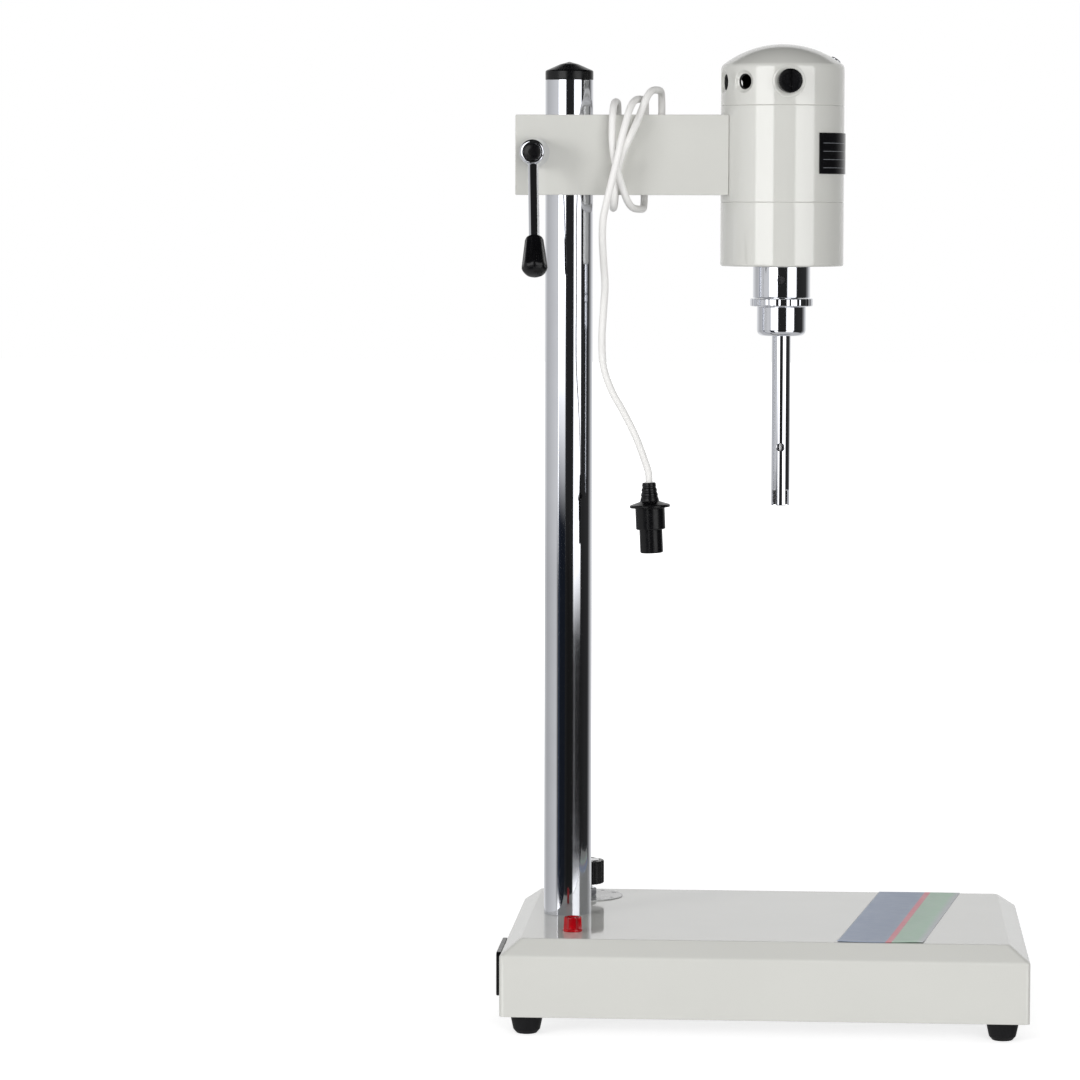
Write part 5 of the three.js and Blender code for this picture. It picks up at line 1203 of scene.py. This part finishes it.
class HOMOGENIZER_OT_lever(bpy.types.Operator):
    """Make the clamp lever: hub, rod, plug and fluted grip"""

    bl_idname = "homogenizer.lever"
    bl_label = "Clamp Lever"

    def execute(self, context):
        x, _, z = middle_of("clamp_screw")
        centre = np.array([x, 0, z])
        bore, cup, start, end = 3.3, 5.8, 22.3, 48
        hub = rounded([
            (bore, start, 0.2), (10, start, 0.5), (10.0, start + 4, 8), (8.2, end, 1.8), (cup, end, 0.2),
            (cup, end - 1.8, 0), (0, end - 1.8, 0), (0, end - 4, 0), (bore, end - 4, 0),
        ])
        hub_shell = placed(turned(np.concatenate([hub, hub[:1]]), 96), centre, NEAR)
        angle, lean = math.radians(32.4), math.radians(3.5)
        root = centre + np.array(NEAR) * (start + 16.6)
        reach = math.cos(angle)
        slope = np.array([reach * math.sin(lean), -math.sin(angle), -reach * math.cos(lean)])
        rod_outline = rounded([(0, 4.5, 0), (3.5, 4.5, 0), (3.5, 80.5, 0.5), (0, 80.5, 0)])
        rod_shell = placed(turned(rod_outline, 48), root, slope)
        hub_and_rod = formed("lever_hub_and_rod", [hub_shell, rod_shell])
        finished(hub_and_rod, "Chrome", "lever", "chrome", "lever_arm")
        plug = lathed("lever_end_plug", [
            (0, end - 1.5, 0), (5.5, end - 1.5, 0.2), (5.5, end + 1.1, 0.9), (2.5, end + 1.75, 3),
            (0, end + 1.8, 0),
        ], 64, centre, NEAR)
        finished(plug, "Black plastic", "lever", "black_plastic", "lever_plug")
        grip = formed("fluted_grip", placed(self.grip(), root, slope), 60)
        finished(grip, "Black plastic", "lever", "black_plastic", "lever_grip")
        return {"FINISHED"}

    def grip(self):
        """A flared body whose radius grows evenly to its dome, where the flutes fade out again."""
        start, length, dome = 67.5, 26.5, 5.0
        top_radius, flare, flutes, flute_depth, bore, bore_depth = 6, 2.5, 8, 0.55, 3.55, 13
        share = np.concatenate([np.linspace(0, 1, 25), [1.0]])
        along = share * length
        slope_end = length - dome
        over = np.clip((along - slope_end) / dome, 0, 1)
        radius = top_radius + flare * np.minimum(along, slope_end) / slope_end
        radius = radius * np.sqrt(np.clip(1 - 0.72 * over**2, 0, 1))
        radius[0] -= 0.4
        radius[-1] = 0
        fade = np.clip(share / 0.12, 0, 1) * np.clip((1 - share) / 0.22, 0, 1) * (radius > 0)
        angles = circle(128)
        reach = radius[:, None] + fade[:, None] * ribs(flutes, flute_depth)(angles)
        hole = revolve([(0, start + bore_depth), (bore, start + bore_depth), (bore, start)], angles)
        return grid(np.concatenate([hole, swept(reach, angles, (start + along)[:, None])]))


class HOMOGENIZER_OT_head(bpy.types.Operator):
    """Make the two lower housings of the motor head and its plate"""

    bl_idname = "homogenizer.head"
    bl_label = "Motor Head"

    def execute(self, context):
        seam = context.scene.homogenizer_sizes.seam_edge / MM
        outer, inner, seat, socket, bore = HEAD_RADIUS, HEAD_RADIUS - 3, 11.3, 14.3, 8
        floor, seat_floor, seat_top = HEAD_BOTTOM + 6, HEAD_BOTTOM + 8.5, HEAD_BOTTOM + 15.8
        lower = lathed("lower_housing", [
            (socket, HEAD_BOTTOM, 0.2), (outer, HEAD_BOTTOM, 1.4), (outer, LOWER_TOP, seam),
            (inner, LOWER_TOP, 0.2), (inner, floor, 0.5), (18, floor, 0.5), (18, seat_top, 0.3),
            (seat, seat_top, 0.2), (seat, seat_floor, 0.2), (bore, seat_floor, 0.2), (bore, floor, 0.1),
            (socket, floor, 0.1),
        ], 160, HEAD_AXIS, closed=True)
        finished(lower, "Casting paint", "arm", "painted_casting", "head_lower")
        bottom, top = HEAD_LOW[2], HEAD_HIGH[2]
        middle = lathed("middle_housing", [
            (inner, bottom, 0.2), (outer, bottom, seam), (outer, top, seam), (inner, top, 0.2),
        ], 160, HEAD_AXIS, closed=True)
        finished(middle, "Casting paint", "arm", "painted_casting", "head_middle")
        self.make_plate()
        return {"FINISHED"}

    def make_plate(self):
        """A small rectangular section (radius, height) carried along an arc round the head."""
        bottom, top = levels_of("rating_plate")
        back, face = HEAD_RADIUS + 0.3, HEAD_RADIUS + 0.9
        section = rounded([
            (back, bottom, 0.1), (face, bottom, 0.2), (face, top, 0.2), (back, top, 0.1),
        ], closed=True, steps=2)
        arc = HEAD_CLOCK + np.radians(np.linspace(-60, 60, 61))
        shell = capped(np.swapaxes(revolve(section, arc), 0, 1))
        plate = formed("black_plate", placed(shell, HEAD_AXIS))
        finished(plate, "Plate film", "arm", "black_plastic", "rating_plate")


class HOMOGENIZER_OT_head_cover(bpy.types.Operator):
    """Make the domed cover with its sunk air holes and brush bosses, and the caps of the brushes"""

    bl_idname = "homogenizer.head_cover"
    bl_label = "Head Cover"

    wall = 3
    window_half = 11.6
    brush_half_angle, vent_half_angle = 17, 12
    # Radius of the dome's edge, its rise to the top and the radius of its sphere
    edge, rise = 39.5, 13.4
    sphere = (edge**2 + rise**2) / (2 * rise)

    def outlines(self):
        """Outer and inner radius by height: a straight wall, a shoulder curve and part of a sphere."""
        edge, sphere = self.edge, self.sphere
        centre = HEAD_TOP - sphere
        shoulder_top = HEAD_TOP - self.rise
        shoulder_bottom = shoulder_top - 3.6
        slope = math.asin(edge / sphere)
        control = shoulder_top - (HEAD_RADIUS - edge) * math.tan(slope)
        u = np.linspace(0, 1, 9)
        curve_z = (1 - u) ** 2 * shoulder_bottom + 2 * u * (1 - u) * control + u**2 * shoulder_top
        curve_r = (1 - u**2) * HEAD_RADIUS + u**2 * edge
        angles = np.linspace(slope, 0, 24)[1:]
        outer_r = np.concatenate([[HEAD_RADIUS], curve_r, sphere * np.sin(angles)])
        outer_z = np.concatenate([[COVER_BOTTOM], curve_z, centre + sphere * np.cos(angles)])
        inner_radius, reach = HEAD_RADIUS - self.wall, sphere - self.wall
        angles = np.linspace(math.asin((inner_radius - 1.5) / reach), 0, 16)
        inner_r = np.concatenate([[inner_radius] * 2, reach * np.sin(angles)])
        inner_z = np.concatenate([[COVER_BOTTOM, shoulder_bottom - 1], centre + reach * np.cos(angles)])
        return np.stack([outer_r, outer_z], -1), np.stack([inner_r, inner_z], -1)

    def features(self):
        """Bearing, half width and rings of each opening: (circle radius, depth, or reach from the axis)."""
        plane = HEAD_RADIUS + 0.4
        boss = [
            (11.2, 0, None), (10.85, 0, None), (10.8, None, plane - 0.55), (10.7, None, plane - 0.45),
            (9.6, None, plane - 0.03), (9.4, None, plane), (7.0, None, plane), (6.8, None, plane - 0.2),
        ]
        vent = [
            (8.1, 0, None), (7.7, 0.02, None), (7.35, 0.2, None), (7.05, 0.55, None), (5.2, 1.75, None),
            (4.75, 2.1, None), (4.45, 2.5, None), (4.35, 3.0, None),
        ]
        bearings = [(angle, self.brush_half_angle, boss) for angle in (-90, 90)]
        bearings += [(-90 - angle, self.vent_half_angle, vent) for angle in (45, 78, 102, 135)]
        clock = math.degrees(HEAD_CLOCK)
        return sorted(((angle + clock) % 360, half, rings) for angle, half, rings in bearings)

    def columns(self):
        """Bearings of the wall's columns, closer at the openings, and each opening's first and last."""
        features = self.features()
        columns, spans = [], []
        for i, (bearing, half, _) in enumerate(features):
            following = features[(i + 1) % len(features)]
            gap_end = following[0] - following[1] + (360 if i + 1 == len(features) else 0)
            spans.append((len(columns), len(columns) + half))
            columns += list(np.linspace(bearing - half, bearing + half, half + 1)[:-1])
            fill = max(1, round((gap_end - bearing - half) / 2.5))
            columns += list(np.linspace(bearing + half, gap_end, fill + 1)[:-1])
        return np.array(columns), spans

    def wall_with_openings(self, outline, rows, middle, inner=None):
        """A wall of revolution on the given heights. Cells in an opening's window give way to rings that pass
        from the window's edge to a circle, and on through the opening's own rings to the inner wall."""
        columns, spans = self.columns()
        heights = np.asarray(rows, float)
        first, last = (
            int(np.argmin(np.abs(heights - (middle + side * self.window_half)))) for side in (-1, 1)
        )
        radii = np.interp(heights, outline[:, 1], outline[:, 0])
        vertices, faces = grid(revolve(np.stack([radii, heights], -1), np.radians(columns)))
        row, column = np.divmod(np.arange(len(faces)), len(columns))
        keep = np.ones(len(faces), bool)
        shells = []
        for (bearing, _, rings), (start, end) in zip(self.features(), spans):
            keep &= ~((row >= first) & (row < last) & (column >= start) & (column < end))
            wide, tall = end - start, last - first
            across, up = np.arange(wide), np.arange(tall)
            at_column = np.concatenate([
                start + across, np.full(tall, end), end - across, np.full(tall, start),
            ])
            at_row = np.concatenate([
                np.full(wide, first), first + up, np.full(wide, last), last - up,
            ])
            degrees = columns[at_column % len(columns)] + 360 * (at_column // len(columns)) - bearing
            turn = np.radians(np.concatenate([
                np.linspace(angle, angle + 90, cells + 1)[:-1]
                for angle, cells in ((-135, wide), (-45, tall), (45, wide), (135, tall))
            ]))
            shells.append(self.opening(
                outline, inner, middle, bearing, rings, turn, heights[at_row], np.radians(degrees),
            ))
        return [(vertices, [face for face, kept in zip(faces, keep) if kept]), *shells]

    def opening(self, outline, inner, middle, bearing, rings, turn, edge_height, edge_angle):
        """Rings from the window's edge in to a circle, then the opening's own, as (out, side, height)."""
        def out_at(line, side, height):
            return np.sqrt(np.interp(height, line[:, 1], line[:, 0]) ** 2 - side**2)

        if inner is None:
            rings = [(rings[-1][0], 0, None)]
        edge_side = np.interp(edge_height, outline[:, 1], outline[:, 0]) * np.sin(edge_angle)
        layers = []
        for share in (0, 0.35, 0.7):
            side = edge_side * (1 - share) + rings[0][0] * np.cos(turn) * share
            height = edge_height * (1 - share) + (middle + rings[0][0] * np.sin(turn)) * share
            layers.append((out_at(outline, side, height), side, height))
        for radius, depth, reach in rings:
            side, height = radius * np.cos(turn), middle + radius * np.sin(turn)
            out = np.full(len(turn), reach) if reach else out_at(outline, side, height) - depth
            layers.append((out, side, height))
        if inner is not None:
            layers.append((out_at(inner, side, height), side, height))
        out, side, height = (np.array(values) for values in zip(*layers))
        x, y, _ = heading(math.radians(bearing))
        return grid(np.stack([out * x - side * y, out * y + side * x, height], -1))

    def execute(self, context):
        sizes = context.scene.homogenizer_sizes
        outer, inner = self.outlines()
        middle = middle_of("brush_cap_right")[2]
        angles = np.radians(self.columns()[0])
        window = np.linspace(middle - self.window_half, middle + self.window_half, 15)
        rim = rounded([
            (HEAD_RADIUS - self.wall, COVER_BOTTOM, 0), (HEAD_RADIUS, COVER_BOTTOM, sizes.seam_edge / MM),
            (HEAD_RADIUS, window[0], 0),
        ])[:-1]

        def dome(outline):
            start = (np.interp(window[-1], outline[:, 1], outline[:, 0]), window[-1])
            points = np.concatenate([[start], outline[outline[:, 1] > window[-1] + 0.05]])
            points[-1, 0] = 0
            return grid(revolve(points, angles))

        seat_bottom, seat_top = 633, 643.2
        seat = rounded([
            (9.8, seat_bottom, 0.2), (13, seat_bottom, 0.5), (13, seat_top, 0), (9.8, seat_top, 0),
        ], closed=True)
        shells = [
            grid(revolve(rim, angles)),
            *self.wall_with_openings(outer, [rim[-1, 1], *window], middle, inner),
            dome(outer),
            *self.wall_with_openings(inner, [COVER_BOTTOM, *window], middle),
            dome(inner),
            turned(seat, 64, closed=True),
        ]
        cover = formed("domed_cover", [placed(shell, HEAD_AXIS) for shell in shells], 34)
        finished(cover, "Casting paint", "arm", "painted_casting", "head_cover")
        self.darken_inside(cover)
        self.make_caps(sizes, middle)
        self.make_screw(outer)
        return {"FINISHED"}

    def darken_inside(self, cover):
        """Faces nearer the axis than the outer wall get a painted shade: a dark colour that stands for the
        shade inside the cover, so that its air holes look black.
        """
        mesh = cover.data
        mesh.materials.append(bpy.data.materials["Inner coat"])
        centres = np.zeros(3 * len(mesh.polygons), np.float32)
        mesh.polygons.foreach_get("center", centres)
        x, y, z = centres.reshape(-1, 3).T / MM
        inside = (np.hypot(x - HEAD_X, y) < HEAD_RADIUS - 1.9) & (z < HEAD_TOP - 16.5)
        mesh.polygons.foreach_set("material_index", inside.astype(np.int32))
        mesh.update()

    def make_caps(self, sizes, middle):
        """A knurled cap turned about each brush's axis, with a slot across its face."""
        face = HEAD_RADIUS + 0.7
        end, start = face + 9.5, 34.5
        knurl = ribs(sizes.cap_ridges, sizes.cap_knurl / MM)
        for side, bearing in (("right", -90), ("left", 90)):
            outward = heading(math.radians(bearing) + HEAD_CLOCK)
            place = (HEAD_X, 0, middle), outward, UP
            cap = lathed("carbon_brush_cap_" + side, [
                (0, start, 0), (3.9, start, 0.2), (3.9, face + TINY, 0), (8, face, 0.5, 1),
                (8, end, 0.9, 1), (6.6, end, 0.4), (6.3, end - 0.4, 0.3), (0, end - 0.4, 0),
            ], 240, *place, wave=knurl, sharp=50)
            pierced(cap, [placed(block(-10, 10, -1, 1, end - 1.7, end + 1), *place)], 40)
            finished(cap, "Black plastic", "arm", "black_plastic", "brush_cap_" + side)

    def make_screw(self, outer):
        """A domed screw head with a cross slot, square on the dome at the front."""
        radius = 35.2
        order = np.argsort(outer[:, 0])
        height = float(np.interp(radius, outer[order, 0], outer[order, 1]))
        lean = math.asin(radius / self.sphere)
        outward = math.sin(lean) * heading(HEAD_CLOCK) + (0, 0, math.cos(lean))
        spot = HEAD_AXIS + radius * heading(HEAD_CLOCK) + (0, 0, height)
        screw = lathed("dome_screw", [
            (0, -2, 0), (3.4, -2, 0), (3.75, 0.25, 0.2), (3.1, 0.85, 0.6), (0, 1.05, 0),
        ], 48, spot, outward)
        slot = block(-2, 2, -0.3, 0.3, 0.5, 4)
        pierced(screw, [placed(slot, spot, outward, aside) for aside in ((1, 1, 0), (-1, 1, 0))])
        finished(screw, "Chrome", "arm", "chrome")


class HOMOGENIZER_OT_tool(bpy.types.Operator):
    """Make the spigot, the lock ring, the collar and the dispersing tube"""

    bl_idname = "homogenizer.tool"
    bl_label = "Dispersing Tool"

    spigot_bore = 12.3

    def execute(self, context):
        self.make_spigot()
        self.make_ring_and_collar()
        self.make_tube()
        return {"FINISHED"}

    def make_spigot(self):
        """A turned sleeve under the head with a stepped bore, less the hole of its set screw."""
        bottom, shoulder = levels_of("spigot")[0], HEAD_BOTTOM - TINY
        bore, outer, neck, neck_bore = self.spigot_bore, 19.15, 14, 8
        roof, top = HEAD_BOTTOM - 3.7, HEAD_BOTTOM + 5.7
        spigot = lathed("chromed_spigot", [
            (bore, bottom, 0.2), (outer, bottom, 0.7), (outer, shoulder, 0.5), (neck, shoulder, 0),
            (neck, top, 0.2), (neck_bore, top, 0.2), (neck_bore, roof, 0.2), (bore, roof, 0.2),
        ], 144, HEAD_AXIS, closed=True)
        screw_height = middle_of("spigot_set_screw")[2]
        pierced(spigot, [placed(rod(2.7, 10, 22, 32), (HEAD_X, 0, screw_height), NEAR)])
        finished(spigot, "Chrome", "arm", "chrome", "spigot")

    def make_ring_and_collar(self):
        """A knurled ring, and a collar whose shank fills the spigot's bore."""
        bottom, top = levels_of("lock_ring")
        bore, outer = self.spigot_bore, 20.85
        ring = lathed("knurled_ring", [
            (bore, bottom, 0), (outer, bottom, 0.9, 1), (outer, top, 0.9, 1), (bore, top, 0),
        ], 288, HEAD_AXIS, closed=True, wave=ribs(36, 0.2), sharp=50)
        finished(ring, "Chrome", "lock", "chrome", "lock_ring")
        flange_top = bottom - 0.3
        foot, shank_top = levels_of("tool_collar")
        socket_floor, tube_top = shank_top - 12, levels_of("tool_tube")[1] + 0.3
        tube_bore, flange, shank, socket, shaft_bore = 6.55, 16.35, 12, 7.8, 3.5
        collar = lathed("chromed_collar", [
            (tube_bore, foot, 0.3), (flange, foot, 4), (flange, flange_top, 0.4), (shank, flange_top, 0),
            (shank, shank_top, 0.4), (socket, shank_top, 0.2), (socket, socket_floor, 0),
            (shaft_bore, socket_floor, 0), (shaft_bore, tube_top, 0), (tube_bore, tube_top, 0),
        ], 144, HEAD_AXIS, closed=True, steps=10)
        finished(collar, "Chrome", "arm", "chrome", "tool_collar")

    def make_tube(self):
        """A thin tube, less an air hole right through it and four slots in its end."""
        bottom, top = levels_of("tool_tube")
        inner, outer = 5.25, 6.25
        tool_tube = lathed("dispersing_tube", [
            (inner, bottom, 0.2), (outer, bottom, 0.3), (outer, top, 0.2), (inner, top, 0.2),
        ], 96, HEAD_AXIS, closed=True)
        vent = placed(rod(2.9, -9, 9, 40), (HEAD_X, 0, bottom + 39), FAR)
        slot = block(-9, 9, -1.7, 1.7, bottom - 2, bottom + 10.5)
        slots = [placed(slot, HEAD_AXIS, UP, heading(math.radians(angle))) for angle in (50, 140)]
        pierced(tool_tube, [vent, *slots])
        finished(tool_tube, "Chrome", "arm", "chrome", "tool_tube")


class HOMOGENIZER_OT_inner_pieces(bpy.types.Operator):
    """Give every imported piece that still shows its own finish"""

    bl_idname = "homogenizer.inner_pieces"
    bl_label = "Inner Pieces"

    kinds = {
        "Zinc": ["bottom_plate", "column_support", "potentiometer"],
        "Turned steel": [
            "column_bolt", "potentiometer_shaft", "bearing_lower", "bearing_upper", "motor_shaft",
            "drive_coupling", "tool_shaft", "rotor_head", "clamp_screw",
        ],
        "Blackened steel": ["brush_holder_right", "brush_holder_left", "saddle_screw", "spigot_set_screw"],
        "Circuit board": ["control_board"],
        "Laminations": ["motor_field", "armature"],
        "Nylon": ["tool_bush", "clamp_liner"],
        "Black plastic": ["cooling_fan"],
        "Carbon": ["brush_right", "brush_left"],
    }

    def execute(self, context):
        for material, names in self.kinds.items():
            for name in names:
                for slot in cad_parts[name].material_slots:
                    slot.material = bpy.data.materials[material]
        return {"FINISHED"}


OPERATORS = (
    HOMOGENIZER_OT_finishes,
    HOMOGENIZER_OT_stage,
    HOMOGENIZER_OT_motor_lead,
    HOMOGENIZER_OT_base,
    HOMOGENIZER_OT_column,
    HOMOGENIZER_OT_speed_control,
    HOMOGENIZER_OT_lamp,
    HOMOGENIZER_OT_rear,
    HOMOGENIZER_OT_arm,
    HOMOGENIZER_OT_lever,
    HOMOGENIZER_OT_head,
    HOMOGENIZER_OT_head_cover,
    HOMOGENIZER_OT_tool,
    HOMOGENIZER_OT_inner_pieces,
)

GROUPS = {
    "homogenizer_colours": HomogenizerColours,
    "homogenizer_sizes": HomogenizerSizes,
    "homogenizer_studio": HomogenizerStudio,
}


class HOMOGENIZER_PT_panel(bpy.types.Panel):
    """Lists the machine's pieces in the order they are made"""

    bl_label = "Homogenizer"
    bl_idname = "HOMOGENIZER_PT_panel"
    bl_space_type = "VIEW_3D"
    bl_region_type = "UI"
    bl_category = "Homogenizer"

    def draw(self, context):
        for group_name in GROUPS:
            group = getattr(context.scene, group_name)
            box = self.layout.box()
            for name in group.bl_rna.properties.keys():
                if name not in ("rna_type", "name"):
                    box.prop(group, name)
        for operator in OPERATORS:
            self.layout.operator(operator.bl_idname)


KINDS = (*GROUPS.values(), *OPERATORS, HOMOGENIZER_PT_panel)


def register():
    for kind in KINDS:
        bpy.utils.register_class(kind)
    for name, group in GROUPS.items():
        setattr(bpy.types.Scene, name, PointerProperty(type=group))


def unregister():
    for name in GROUPS:
        delattr(bpy.types.Scene, name)
    for kind in reversed(KINDS):
        bpy.utils.unregister_class(kind)


def main():
    register()
    for operator in OPERATORS:
        getattr(bpy.ops.homogenizer, operator.bl_idname.split(".")[1])()


if __name__ == "__main__":
    main()
